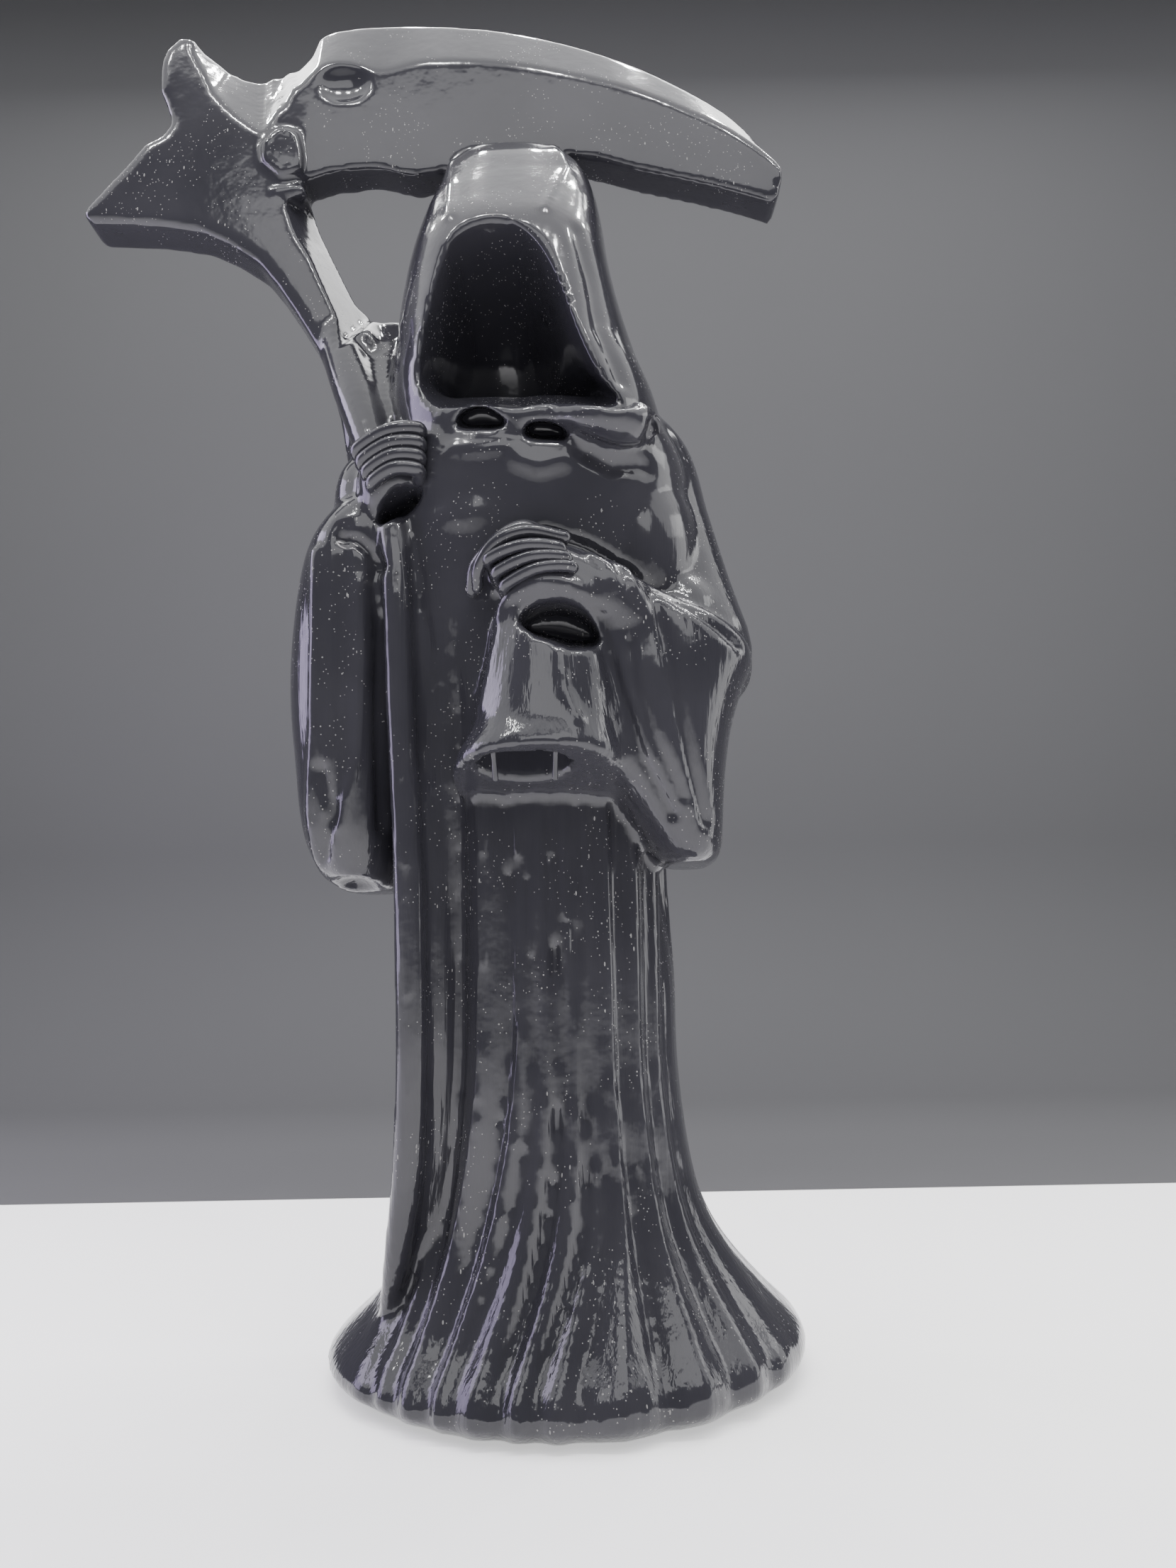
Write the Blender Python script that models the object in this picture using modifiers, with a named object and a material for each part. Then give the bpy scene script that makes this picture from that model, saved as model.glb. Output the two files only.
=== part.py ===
"""Grim reaper figurine, carved and polished from one piece of obsidian.

The figure stands on the ground plane, faces -Y and holds a scythe on its right side (-X).
Pose, proportions and carving are shares of the height: a length of 1.0 below is HEIGHT / 220.
"""

import math

import bmesh
import bpy

HEIGHT = 0.220
SHARES = 220.0
UNIT = HEIGHT / SHARES

# Sampling of the carved forms
RING_POINTS = 96
ROBE_POINTS = 480
RING_STEP = 2.0
VOXEL = 0.62
SMOOTH_STEPS = 2
FACE_LIMIT = 9400

# Share of a section's depth that lies behind its widest place
BEHIND_WIDEST = 0.35

# Robe stations: height, left, right, front, back
ROBE = (
    (0.0, -31.0, 29.4, -25.8, 20.6),
    (2.2, -34.8, 33.2, -29.2, 24.0),
    (3.4, -35.2, 33.6, -29.4, 24.4),
    (5.8, -33.2, 33.0, -28.6, 23.8),
    (10.0, -28.6, 28.6, -26.0, 21.6),
    (16.0, -24.8, 23.2, -23.2, 19.4),
    (22.0, -22.6, 19.7, -21.2, 17.8),
    (30.0, -21.2, 17.6, -19.8, 16.6),
    (42.0, -20.8, 16.3, -18.9, 15.6),
    (55.0, -21.0, 16.2, -18.6, 15.2),
    (68.0, -22.2, 15.6, -18.7, 15.2),
    (85.0, -24.6, 15.6, -19.3, 15.4),
    (105.0, -27.0, 17.6, -20.4, 15.6),
    (120.0, -27.6, 20.0, -22.4, 15.4),
    (131.0, -27.0, 20.2, -23.4, 14.4),
    (139.0, -25.6, 17.2, -20.0, 12.8),
    (147.0, -22.0, 12.2, -14.0, 10.8),
)

# Fold valleys of the robe front: side position at heights 66, 40, 22 and 6, then depth
FRONT_FOLDS = (
    (-19.6, -18.8, -20.0, -25.6, 1.8),
    (-15.2, -15.6, -18.0, -22.8, 2.7),
    (-7.2, -8.3, -12.2, -18.0, 3.0),
    (-5.0, -4.8, -8.0, -14.6, 2.2),
    (-1.4, -0.9, -3.0, -8.6, 3.0),
    (2.0, 3.0, 2.2, -4.0, 2.8),
    (4.8, 4.7, 5.0, 1.0, 2.0),
    (7.9, 8.2, 9.6, 12.4, 2.8),
    (12.8, 12.5, 15.0, 21.4, 2.4),
    (15.2, 14.9, 18.0, 26.6, 1.6),
)
FOLD_HEIGHTS = (66.0, 40.0, 22.0, 6.0)
EDGE_ROLL = 4.0
ROLL_FULLNESS = 0.85
FOLD_FADE = 16.0
FOLD_TOP = 106.0
HEM_FOLDS = 0.3
HEM_FADE = 9.0
HEM_GROWTH = 0.5
HEM_GROWTH_TOP = 30.0
# Exponents of the section corners: 1.0 is an ellipse, less is squarer
HEM_SQUARENESS = 0.98
WAIST_SQUARENESS = 0.76
HEM_FLARE = 34.0
HOOD_SQUARENESS = 0.86
CROWN_SQUARENESS = 0.62
CROWN_LOW = 150.0
CROWN_HIGH = 176.0
SLEEVE_SQUARENESS = 0.84
BACK_FOLDS = 9
BACK_FOLD_DEPTH = 1.1
BACK_FOLD_SWAY = 0.9
BACK_FOLD_SWAY_HEIGHT = 34.0

# Hood stations: height, left, right, front, back
HOOD = (
    (128.0, -22.5, 12.5, -22.4, 12.0),
    (131.0, -24.5, 15.2, -24.0, 12.8),
    (136.0, -25.6, 17.0, -24.8, 13.2),
    (143.0, -26.4, 16.0, -24.9, 13.2),
    (150.0, -26.2, 13.4, -24.2, 12.8),
    (158.0, -25.2, 10.9, -23.0, 12.2),
    (166.0, -23.6, 9.0, -21.4, 11.2),
    (174.0, -21.8, 8.0, -17.2, 9.8),
    (181.0, -19.8, 6.9, -13.2, 7.8),
    (186.0, -18.2, 5.2, -10.4, 5.8),
    (189.4, -16.2, 2.2, -7.8, 3.2),
    (190.6, -14.8, 0.6, -6.6, 2.0),
)

# Hood opening seen from the front: side position and height, clockwise from the apex
OPENING = (
    (-7.6, 166.4), (-4.4, 165.0), (-1.6, 161.8), (0.5, 157.6), (2.1, 153.0), (3.7, 147.6),
    (5.4, 142.8), (7.4, 138.8), (10.0, 135.4), (11.4, 133.6), (8.0, 133.0), (3.6, 133.8),
    (-1.0, 134.0), (-5.4, 133.4), (-9.6, 133.8), (-14.4, 133.6), (-18.6, 133.8),
    (-21.4, 138.0), (-20.8, 146.4), (-19.4, 152.4), (-17.6, 159.0), (-15.2, 164.0),
    (-11.2, 166.2),
)
OPENING_CENTRE = (-7.6, 149.0)
OPENING_DEPTHS = (
    (-34.0, 1.16, 1.3), (-27.5, 1.06, 1.1), (-25.6, 1.01, 1.03), (-24.0, 0.97, 0.97),
    (-21.0, 0.92, 0.85), (-17.0, 0.86, 0.66), (-12.0, 0.81, 0.44), (-6.0, 0.74, 0.3),
    (0.0, 0.62, 0.2), (4.0, 0.42, 0.13), (5.8, 0.16, 0.05),
)

# Scythe blade stations from the head to the tip: top edge, ridge, cutting edge
BLADE = (
    ((-52.0, 209.6), (-50.6, 200.0), (-52.0, 178.0)),
    ((-47.6, 212.5), (-46.8, 201.4), (-47.6, 182.0)),
    ((-43.9, 214.8), (-43.6, 204.0), (-43.4, 186.6)),
    ((-40.2, 218.2), (-40.0, 207.2), (-40.6, 187.6)),
    ((-36.5, 219.4), (-36.3, 208.4), (-36.8, 188.8)),
    ((-28.9, 220.0), (-29.0, 206.6), (-29.6, 189.2)),
    ((-22.6, 219.9), (-21.8, 208.4), (-22.6, 187.8)),
    ((-10.0, 218.7), (-9.7, 208.0), (-9.0, 190.4)),
    ((2.5, 215.6), (2.4, 205.6), (4.0, 190.8)),
    ((14.9, 210.6), (14.2, 202.0), (13.6, 188.2)),
    ((27.1, 203.2), (25.8, 196.4), (25.2, 185.2)),
    ((33.6, 197.0), (32.0, 192.4), (32.8, 182.8)),
    ((37.8, 190.4), (36.8, 188.4), (36.2, 181.6)),
    ((38.8, 187.4), (38.2, 186.4), (37.4, 182.6)),
)
BLADE_FRONT = -4.2
BLADE_BACK = 4.4
BLADE_TOP_FRONT = 0.4
BLADE_TOP_BACK = 2.6
BLADE_EDGE_FRONT = -3.2
BLADE_EDGE_BACK = 3.8
BLADE_EDGE_RISE = 0.6

# Scythe head with horn, fish tail and staff seen from the front
HEAD = (
    (-47.6, 212.4), (-53.8, 211.6), (-60.0, 213.6), (-63.4, 214.8), (-66.2, 212.0),
    (-67.0, 208.6), (-66.8, 204.4), (-65.4, 201.0), (-64.6, 198.0), (-65.8, 195.8),
    (-69.0, 194.0), (-71.7, 190.2), (-75.0, 186.2), (-78.8, 181.4), (-77.4, 179.8),
    (-71.3, 179.6), (-65.2, 179.0), (-59.1, 177.8), (-54.1, 175.3), (-49.1, 171.8),
    (-46.0, 167.8), (-42.8, 162.8), (-39.4, 157.0), (-36.8, 150.0), (-35.0, 143.5),
    (-33.6, 135.0), (-32.4, 126.0), (-25.0, 126.0), (-25.6, 140.0), (-27.6, 148.6),
    (-29.0, 156.0), (-30.4, 163.0), (-33.9, 167.2), (-35.8, 171.0), (-38.3, 176.4),
    (-40.2, 180.4), (-42.4, 187.0), (-41.0, 195.0), (-40.0, 205.0), (-42.0, 211.4),
)
HEAD_FRONT = -4.0
HEAD_BACK = 4.2
HEAD_EDGE = 0.9

# Saddle between the staff and the hood, below the see-through gap
WEB = (
    (126.0, -32.0, -20.0, -12.4, 4.0),
    (138.0, -33.0, -20.6, -11.8, 4.2),
    (144.0, -33.4, -20.8, -9.6, 4.2),
    (150.0, -33.6, -21.4, -6.6, 4.0),
    (156.0, -33.6, -22.4, -3.4, 3.8),
    (161.0, -33.2, -23.0, -0.6, 3.4),
    (163.4, -32.8, -23.6, 0.8, 2.8),
)
# Pockets and facets cut with slanting walls: depth and outline in front, depth and outline behind
HORN_CUT = (
    (-8.8, ((-63.4, 208.3), (-60.9, 202.9), (-58.0, 195.4), (-53.6, 189.6), (-47.4, 184.5), (-44.1, 191.2),
            (-41.6, 197.4), (-38.2, 201.6), (-33.6, 219.6), (-61.2, 219.6))),
    (6.4, ((-57.4, 218.7), (-56.5, 218.5), (-55.2, 218.6), (-53.6, 218.4), (-51.4, 218.9), (-49.0, 218.0),
           (-46.4, 218.2), (-44.2, 220.8), (-41.6, 227.6), (-57.2, 227.6))),
)
STAFF_CUT = (
    (-8.8, ((-48.1, 181.6), (-45.8, 174.2), (-42.4, 168.4), (-40.0, 162.6), (-35.4, 151.6), (-28.6, 156.0),
            (-33.2, 182.6), (-41.5, 182.6))),
    (6.4, ((-39.7, 186.1), (-37.3, 180.6), (-35.8, 177.2), (-33.5, 172.2), (-31.6, 168.5), (-28.6, 166.8),
           (-29.2, 184.6), (-37.5, 186.6))),
)
NICHE = (
    (-29.0, ((-6.0, 101.4), (-5.0, 103.2), (-2.6, 104.3), (0.2, 104.5), (3.0, 103.7), (5.2, 101.6),
             (6.2, 98.8), (5.4, 96.6), (1.6, 96.8), (-3.0, 98.8))),
    (-18.0, ((-4.8, 103.4), (-4.0, 104.2), (-2.2, 105.0), (0.2, 105.2), (2.8, 104.4), (4.6, 103.0),
             (5.2, 101.8), (4.4, 101.4), (1.4, 101.6), (-2.4, 102.6))),
)
LEFT_POCKET = (
    (-26.6, ((-15.4, 129.4), (-14.0, 131.7), (-11.8, 133.0), (-9.5, 132.7), (-7.4, 131.3), (-5.8, 129.4),
             (-8.6, 128.9), (-12.0, 128.9))),
    (-17.0, ((-14.2, 135.2), (-13.4, 136.8), (-11.6, 137.8), (-9.6, 137.5), (-7.9, 136.5), (-6.9, 135.2),
             (-9.2, 134.8), (-12.0, 134.8))),
)
RIGHT_POCKET = (
    (-26.6, ((-5.2, 128.8), (-3.4, 130.3), (-0.6, 130.3), (1.5, 129.1), (3.2, 127.1), (0.8, 127.1),
             (-1.6, 127.2), (-3.8, 127.5))),
    (-17.0, ((-4.6, 134.4), (-3.2, 135.4), (-0.8, 135.3), (1.1, 134.3), (2.4, 132.8), (0.6, 132.9),
             (-1.8, 133.0), (-3.8, 133.3))),
)
SLEEVE_POCKET = (
    (-22.0, ((-27.2, 118.8), (-25.6, 122.0), (-22.9, 124.4), (-18.8, 125.2), (-19.2, 122.6), (-22.3, 120.2),
             (-25.2, 118.4))),
    (-11.0, ((-25.4, 121.2), (-24.4, 122.8), (-22.5, 124.2), (-20.0, 124.8), (-20.0, 123.4), (-22.1, 122.0),
             (-24.3, 121.0))),
)
BOSS = (
    (-48.6, 192.4), (-46.0, 195.2), (-43.2, 194.6), (-42.4, 191.0), (-42.2, 187.8),
    (-45.2, 187.0), (-48.2, 189.8),
)
BOSS_FRONT = -5.3
BOSS_EDGE = 0.9
SLANTED_CUTS = (
    ("horn_cutter", HORN_CUT),
    ("staff_cutter", STAFF_CUT),
    ("niche", NICHE),
    ("left_pocket", LEFT_POCKET),
    ("right_pocket", RIGHT_POCKET),
    ("sleeve_pocket", SLEEVE_POCKET),
)

# Staff below the hand: side, depth and height of its axis, radius
STAFF = (
    (-38.0, 0.4, 164.0, 3.0),
    (-35.2, -2.4, 156.0, 3.4),
    (-32.4, -5.8, 148.0, 3.6),
    (-29.6, -9.4, 140.0, 3.4),
    (-27.4, -12.4, 133.0, 3.0),
    (-25.6, -15.0, 126.5, 2.5),
    (-24.0, -17.0, 120.0, 2.2),
    (-23.4, -17.9, 116.0, 2.1),
    (-22.9, -18.4, 108.0, 2.1),
    (-22.2, -18.2, 92.0, 2.1),
    (-21.5, -17.6, 78.0, 2.1),
    (-21.0, -16.8, 64.0, 2.2),
    (-20.7, -16.1, 44.0, 2.2),
    (-21.2, -15.0, 30.0, 2.2),
    (-22.8, -13.0, 19.0, 1.9),
    (-24.6, -9.6, 11.0, 1.3),
)
# Stone left between the staff and the robe: shift of its axis from the staff, extra radius
STAFF_BED = (2.4, 4.4, 1.2)

# Right sleeve of the figure, at -X: height, left, right, front, back
RAISED_SLEEVE = (
    (67.6, -32.0, -24.4, -11.0, 2.0),
    (69.2, -34.8, -23.6, -13.6, 4.0),
    (73.0, -37.4, -22.8, -15.6, 5.4),
    (78.0, -38.9, -22.4, -16.6, 6.2),
    (86.0, -39.9, -22.0, -17.2, 7.0),
    (94.0, -40.8, -21.8, -17.6, 7.4),
    (102.0, -41.0, -21.4, -17.8, 7.6),
    (110.0, -40.4, -21.0, -18.2, 7.6),
    (117.0, -39.2, -20.6, -18.4, 7.2),
    (121.0, -37.6, -20.2, -18.0, 6.6),
    (125.0, -35.0, -20.0, -16.0, 5.8),
    (130.0, -33.2, -21.0, -11.0, 5.0),
    (134.0, -32.4, -22.0, -7.0, 4.6),
)

# Left sleeve of the figure, at +X
LOWER_SLEEVE = (
    (70.0, 14.6, 21.0, -19.0, -4.0),
    (71.2, 13.0, 22.2, -21.0, -3.4),
    (76.0, 9.6, 22.8, -23.0, -2.6),
    (80.0, 6.6, 23.1, -24.2, -2.0),
    (84.6, 3.0, 23.6, -25.2, -2.0),
    (90.0, 1.0, 24.6, -25.6, -2.0),
    (95.0, 0.0, 26.2, -25.6, -2.4),
    (100.0, -1.0, 27.8, -25.2, -4.0),
    (104.0, -2.0, 24.0, -25.0, -8.0),
    (108.0, -3.0, 14.0, -24.6, -12.0),
    (111.0, -3.0, 7.0, -24.2, -15.0),
)
BELL = (
    (77.0, -15.4, 8.8, -30.8, -14.0),
    (81.0, -14.8, 8.8, -30.8, -14.0),
    (84.6, -14.0, 8.9, -30.6, -14.0),
    (88.0, -12.2, 8.5, -29.2, -14.0),
    (92.0, -11.0, 8.1, -28.3, -14.0),
    (97.0, -10.0, 7.7, -27.6, -14.0),
    (102.0, -9.0, 7.6, -27.0, -14.0),
    (106.0, -7.8, 7.2, -26.4, -14.0),
    (109.0, -6.4, 5.8, -25.2, -15.0),
)
NICHE_RIM = (
    (-8.4, -20.6, 101.4, 1.0),
    (-7.2, -23.8, 105.0, 1.1),
    (-2.4, -26.8, 107.0, 1.2),
    (2.8, -26.6, 106.0, 1.2),
    (6.2, -24.6, 103.6, 1.1),
    (7.0, -24.0, 98.0, 0.9),
)
UPPER_ARM = (
    (9.6, 1.0, 141.0, 7.6),
    (12.8, -1.0, 134.0, 8.9),
    (14.6, -2.6, 124.0, 9.2),
    (17.6, -5.0, 112.0, 8.9),
    (20.6, -8.0, 102.6, 8.2),
)
FOREARM = (
    (21.4, -9.0, 100.0, 7.2),
    (14.6, -17.6, 101.4, 6.4),
    (7.6, -21.4, 105.8, 5.0),
    (1.0, -23.4, 109.6, 3.9),
    (-3.0, -24.2, 110.8, 3.4),
)

# Lower edge of the left sleeve seen from the front, and how far the lip is undercut
SLEEVE_LIP = (
    (-22.0, 84.5), (8.2, 84.5), (12.6, 77.2), (15.5, 74.6), (19.7, 71.0), (26.0, 69.6),
)
LIP_FRONT = -31.0
LIP_BACK = -16.0
LIP_FALL = 5.4
# Corner of the space cleared under the lip: left, right, bottom, reach in front
LIP_SPACE = (-22.0, 26.0, 58.0, 6.0)

# Ellipsoid hollows: centre, radii
HOLLOWS = (
    ((-30.0, -10.0, 66.6), (4.2, 5.0, 3.4)),
    ((-35.3, -4.8, 204.3), (5.0, 2.0, 3.9)),
    ((13.8, -23.4, 129.6), (1.6, 3.4, 3.0)),
)
# Mouth of the bell-shaped sleeve, on its underside
SLEEVE_MOUTH = ((-4.6, -24.7, 83.6), (6.2, 3.5, 6.8))

# Hands: left end of the top finger, step to the next; its right end, step; radius, count
RAISED_FINGERS = (
    (-28.5, -19.4, 130.4), (0.8, -0.3, -1.85), (-19.7, -21.6, 132.2), (0.0, 0.0, -2.07), 1.08, 4,
)
LOWER_FINGERS = ((-8.9, -26.2, 110.9), (1.05, 0.1, -1.9), (0.3, -27.4, 111.7), (0.75, 0.0, -1.35), 0.9, 3)
# Bent fingers: how far the ends turn back and down, how far the middle arches out and up
FINGER_END = (2.0, 0.6)
FINGER_ARCH = (0.9, 0.7)
RAISED_PALM = ((-24.2, -16.2, 126.6), (4.9, 4.7, 6.4))
RAISED_WRIST = ((-29.6, -9.4, 126.0), (4.4, 6.0, 8.0))
LOWER_PALM = ((-3.4, -23.2, 110.2), (6.4, 3.2, 4.2))
CHEST_SWELL = ((-10.5, -13.4, 120.0), (10.8, 9.0, 7.6))
SHOULDER_SWELL = ((11.0, -6.0, 117.0), (10.6, 13.4, 17.0))
ELBOW_SWELL = ((17.2, -9.2, 107.0), (7.2, 8.0, 7.4))
THUMB = (
    (-11.8, -21.6, 108.0, 1.1),
    (-11.0, -23.4, 110.6, 1.2),
    (-8.0, -25.0, 113.6, 1.2),
    (-4.6, -25.2, 115.2, 1.4),
    (-1.6, -23.6, 114.6, 1.4),
)

# Rolled end of the hood rim, at the left shoulder of the figure
LOBE = (
    (-2.2, -22.4, 133.4, 0.9),
    (1.6, -24.4, 132.4, 1.5),
    (5.2, -25.6, 131.4, 2.5),
    (8.6, -25.6, 130.8, 3.3),
    (11.4, -23.8, 131.2, 3.0),
    (13.4, -21.4, 132.0, 2.0),
)
INDEX_FINGER = (
    (1.0, -25.6, 113.8, 1.0),
    (-4.0, -26.6, 114.4, 1.0),
    (-8.2, -26.2, 113.0, 1.0),
    (-10.6, -24.8, 110.0, 0.9),
    (-11.0, -23.0, 107.8, 0.8),
)


def between(low, high, share):
    return low + (high - low) * share


def station_at(stations, height):
    """Read a row between two stations, eased so that the profile has no corners."""
    if height <= stations[0][0]:
        return stations[0][1:]
    for row in range(1, len(stations)):
        if height <= stations[row][0]:
            before = stations[max(row - 2, 0)]
            low = stations[row - 1]
            high = stations[row]
            after = stations[min(row + 1, len(stations) - 1)]
            span = high[0] - low[0]
            t = (height - low[0]) / span
            values = []
            for column in range(1, len(low)):
                low_slope = (high[column] - before[column]) / max(high[0] - before[0], 0.001)
                high_slope = (after[column] - low[column]) / max(after[0] - low[0], 0.001)
                values.append(
                    (2 * t**3 - 3 * t**2 + 1) * low[column]
                    + (t**3 - 2 * t**2 + t) * span * low_slope
                    + (-2 * t**3 + 3 * t**2) * high[column]
                    + (t**3 - t**2) * span * high_slope
                )
            return tuple(values)
    return stations[-1][1:]


def heights_of(stations, step):
    """Heights for the sections: every station and even steps between them."""
    heights = []
    for low, high in zip(stations, stations[1:]):
        count = max(1, round((high[0] - low[0]) / step))
        for index in range(count):
            heights.append(between(low[0], high[0], index / count))
    heights.append(stations[-1][0])
    return heights


def oval(height, left, right, front, back, squareness, count=RING_POINTS):
    """Closed section with its own reach to each side, seen from above, anticlockwise."""
    middle_x = (left + right) / 2
    middle_y = between(back, front, BEHIND_WIDEST)
    points = []
    for index in range(count):
        angle = 2 * math.pi * index / count
        across = math.cos(angle)
        along = math.sin(angle)
        reach_y = back - middle_y if along > 0 else middle_y - front
        x = middle_x + (right - left) / 2 * math.copysign(abs(across) ** squareness, across)
        y = middle_y + reach_y * math.copysign(abs(along) ** squareness, along)
        points.append((x, y, height))
    return points


def hood_section(height):
    """Section of the hood, rounder at the shoulders and flatter in front of the crown."""
    share = min(1.0, max(0.0, (height - CROWN_LOW) / (CROWN_HIGH - CROWN_LOW)))
    squareness = between(HOOD_SQUARENESS, CROWN_SQUARENESS, share)
    return oval(height, *station_at(HOOD, height), squareness)


def fold_side(fold, height):
    """Side position of a front fold at one height."""
    if height >= FOLD_HEIGHTS[0]:
        return fold[0]
    for index in range(1, len(FOLD_HEIGHTS)):
        if height >= FOLD_HEIGHTS[index]:
            span = FOLD_HEIGHTS[index - 1] - FOLD_HEIGHTS[index]
            share = (FOLD_HEIGHTS[index - 1] - height) / span
            return between(fold[index - 1], fold[index], share)
    return fold[len(FOLD_HEIGHTS) - 1]


def roll_depth(x, height):
    """How far the robe front is pressed in: round rolls of cloth between the fold valleys."""
    sides = [fold_side(fold, height) for fold in FRONT_FOLDS]
    sides = [sides[0] - EDGE_ROLL] + sides + [sides[-1] + EDGE_ROLL]
    depths = [0.0] + [fold[4] for fold in FRONT_FOLDS] + [0.0]
    for index in range(len(depths) - 1):
        if sides[index] <= x < sides[index + 1]:
            share = (x - sides[index]) / (sides[index + 1] - sides[index])
            depth = between(depths[index], depths[index + 1], share)
            return depth * (1.0 - math.sin(math.pi * share) ** ROLL_FULLNESS)
    return 0.0


def robe_section(height):
    """Section of the robe with its folds pressed in."""
    left, right, front, back = station_at(ROBE, height)
    squareness = between(HEM_SQUARENESS, WAIST_SQUARENESS, min(1.0, height / HEM_FLARE))
    points = oval(height, left, right, front, back, squareness, ROBE_POINTS)
    middle_x = (left + right) / 2
    middle_y = (front + back) / 2
    fade = min(1.0, max(0.0, (FOLD_TOP - height) / FOLD_FADE))
    growth = 1.0 + HEM_GROWTH * max(0.0, 1.0 - height / HEM_GROWTH_TOP)
    growth *= between(HEM_FOLDS, 1.0, min(1.0, height / HEM_FADE))
    folded = []
    for x, y, z in points:
        away = math.hypot(x - middle_x, y - middle_y)
        inward = 0.0
        if y < middle_y:
            inward = roll_depth(x, height)
        else:
            turn = math.atan2(y - middle_y, x - middle_x)
            wave = math.sin(turn * BACK_FOLDS + BACK_FOLD_SWAY * math.sin(height / BACK_FOLD_SWAY_HEIGHT))
            inward += BACK_FOLD_DEPTH * max(0.0, wave) * math.sin(turn)
        share = 1.0 - inward * fade * growth / away
        folded.append((middle_x + (x - middle_x) * share, middle_y + (y - middle_y) * share, z))
    return folded


def mesh_object(name, bm, collection):
    """Scale a finished form from shares to metres and keep it as an object."""
    bmesh.ops.scale(bm, vec=(UNIT, UNIT, UNIT), verts=bm.verts)
    bmesh.ops.recalc_face_normals(bm, faces=bm.faces)
    mesh = bpy.data.meshes.new(name)
    bm.to_mesh(mesh)
    bm.free()
    form = bpy.data.objects.new(name, mesh)
    collection.objects.link(form)
    return form


def loft(name, sections, collection):
    """Skin over closed sections with equal numbers of points, closed at both ends."""
    bm = bmesh.new()
    rings = [[bm.verts.new(point) for point in section] for section in sections]
    for low, high in zip(rings, rings[1:]):
        for index in range(len(low)):
            after = (index + 1) % len(low)
            bm.faces.new((low[index], low[after], high[after], high[index]))
    bm.faces.new(tuple(reversed(rings[0])))
    bm.faces.new(rings[-1])
    return mesh_object(name, bm, collection)


def stations_loft(name, stations, squareness, collection):
    sections = []
    for height in heights_of(stations, RING_STEP):
        sections.append(oval(height, *station_at(stations, height), squareness))
    return loft(name, sections, collection)


def plate(name, outline, front, back, edge, collection):
    """Flat outline pushed from front to back, with bevelled front edges."""
    bm = bmesh.new()
    bm.faces.new([bm.verts.new((x, front, z)) for x, z in outline])
    pushed = bmesh.ops.extrude_face_region(bm, geom=bm.faces[:])
    moved = [item for item in pushed["geom"] if isinstance(item, bmesh.types.BMVert)]
    bmesh.ops.translate(bm, vec=(0, back - front, 0), verts=moved)
    rims = [item for item in bm.edges if abs(item.verts[0].co.y - item.verts[1].co.y) < 0.001]
    bmesh.ops.bevel(bm, geom=rims, offset=edge, segments=1, profile=0.5, affect="EDGES", material=-1)
    return mesh_object(name, bm, collection)


def tube(name, stations, collection):
    """Round form of changing thickness along a smooth line, with closed ends."""
    data = bpy.data.curves.new(name, "CURVE")
    data.dimensions = "3D"
    data.bevel_depth = UNIT
    data.bevel_resolution = 5
    data.use_fill_caps = True
    spline = data.splines.new("NURBS")
    spline.points.add(len(stations) - 1)
    for point, (x, y, z, radius) in zip(spline.points, stations):
        point.co = (x * UNIT, y * UNIT, z * UNIT, 1.0)
        point.radius = radius
    spline.use_endpoint_u = True
    spline.order_u = min(4, len(stations))
    spline.resolution_u = 6
    guide = bpy.data.objects.new(name, data)
    mesh = bpy.data.meshes.new_from_object(guide)
    bpy.data.objects.remove(guide)
    bm = bmesh.new()
    bm.from_mesh(mesh)
    bpy.data.meshes.remove(mesh)
    bmesh.ops.remove_doubles(bm, verts=bm.verts, dist=0.00001)
    bmesh.ops.scale(bm, vec=(1 / UNIT, 1 / UNIT, 1 / UNIT), verts=bm.verts)
    return mesh_object(name, bm, collection)


def ball(name, centre, radii, collection):
    """Ellipsoid."""
    bm = bmesh.new()
    bmesh.ops.create_uvsphere(bm, u_segments=28, v_segments=18, radius=1.0)
    bmesh.ops.scale(bm, vec=radii, verts=bm.verts)
    bmesh.ops.translate(bm, vec=centre, verts=bm.verts)
    return mesh_object(name, bm, collection)


def blade(collection):
    """Blade with a bevelled upper band, drawn through its stations."""
    sections = []
    for top, ridge, low in BLADE:
        sections.append((
            (low[0], BLADE_EDGE_FRONT, low[1]),
            (ridge[0], BLADE_FRONT, ridge[1]),
            (top[0], BLADE_TOP_FRONT, top[1]),
            (top[0], BLADE_TOP_BACK, top[1]),
            (ridge[0], BLADE_BACK, ridge[1]),
            (low[0], BLADE_EDGE_BACK, low[1] + BLADE_EDGE_RISE),
        ))
    return loft("blade", sections, collection)


def fingers(name, start, start_step, end, end_step, radius, count, collection):
    """Row of bent fingers, arched upward and forward."""
    back, down = FINGER_END
    out, up = FINGER_ARCH
    made = []
    for index in range(count):
        first = [a + b * index for a, b in zip(start, start_step)]
        last = [a + b * index for a, b in zip(end, end_step)]
        middle = [between(a, b, 0.5) for a, b in zip(first, last)]
        rows = (
            (first[0], first[1] + back, first[2] - down, radius),
            (first[0], first[1], first[2], radius),
            (middle[0], middle[1] - out, middle[2] + up, radius),
            (last[0], last[1], last[2], radius),
            (last[0], last[1] + back, last[2] - down, radius),
        )
        made.append(tube(f"{name}_{index}", rows, collection))
    return made


def staff_bed():
    """Axis and radius of the stone between the staff and the robe."""
    right, behind, thicker = STAFF_BED
    return [(x + right, y + behind, z, radius + thicker) for x, y, z, radius in STAFF]


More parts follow.
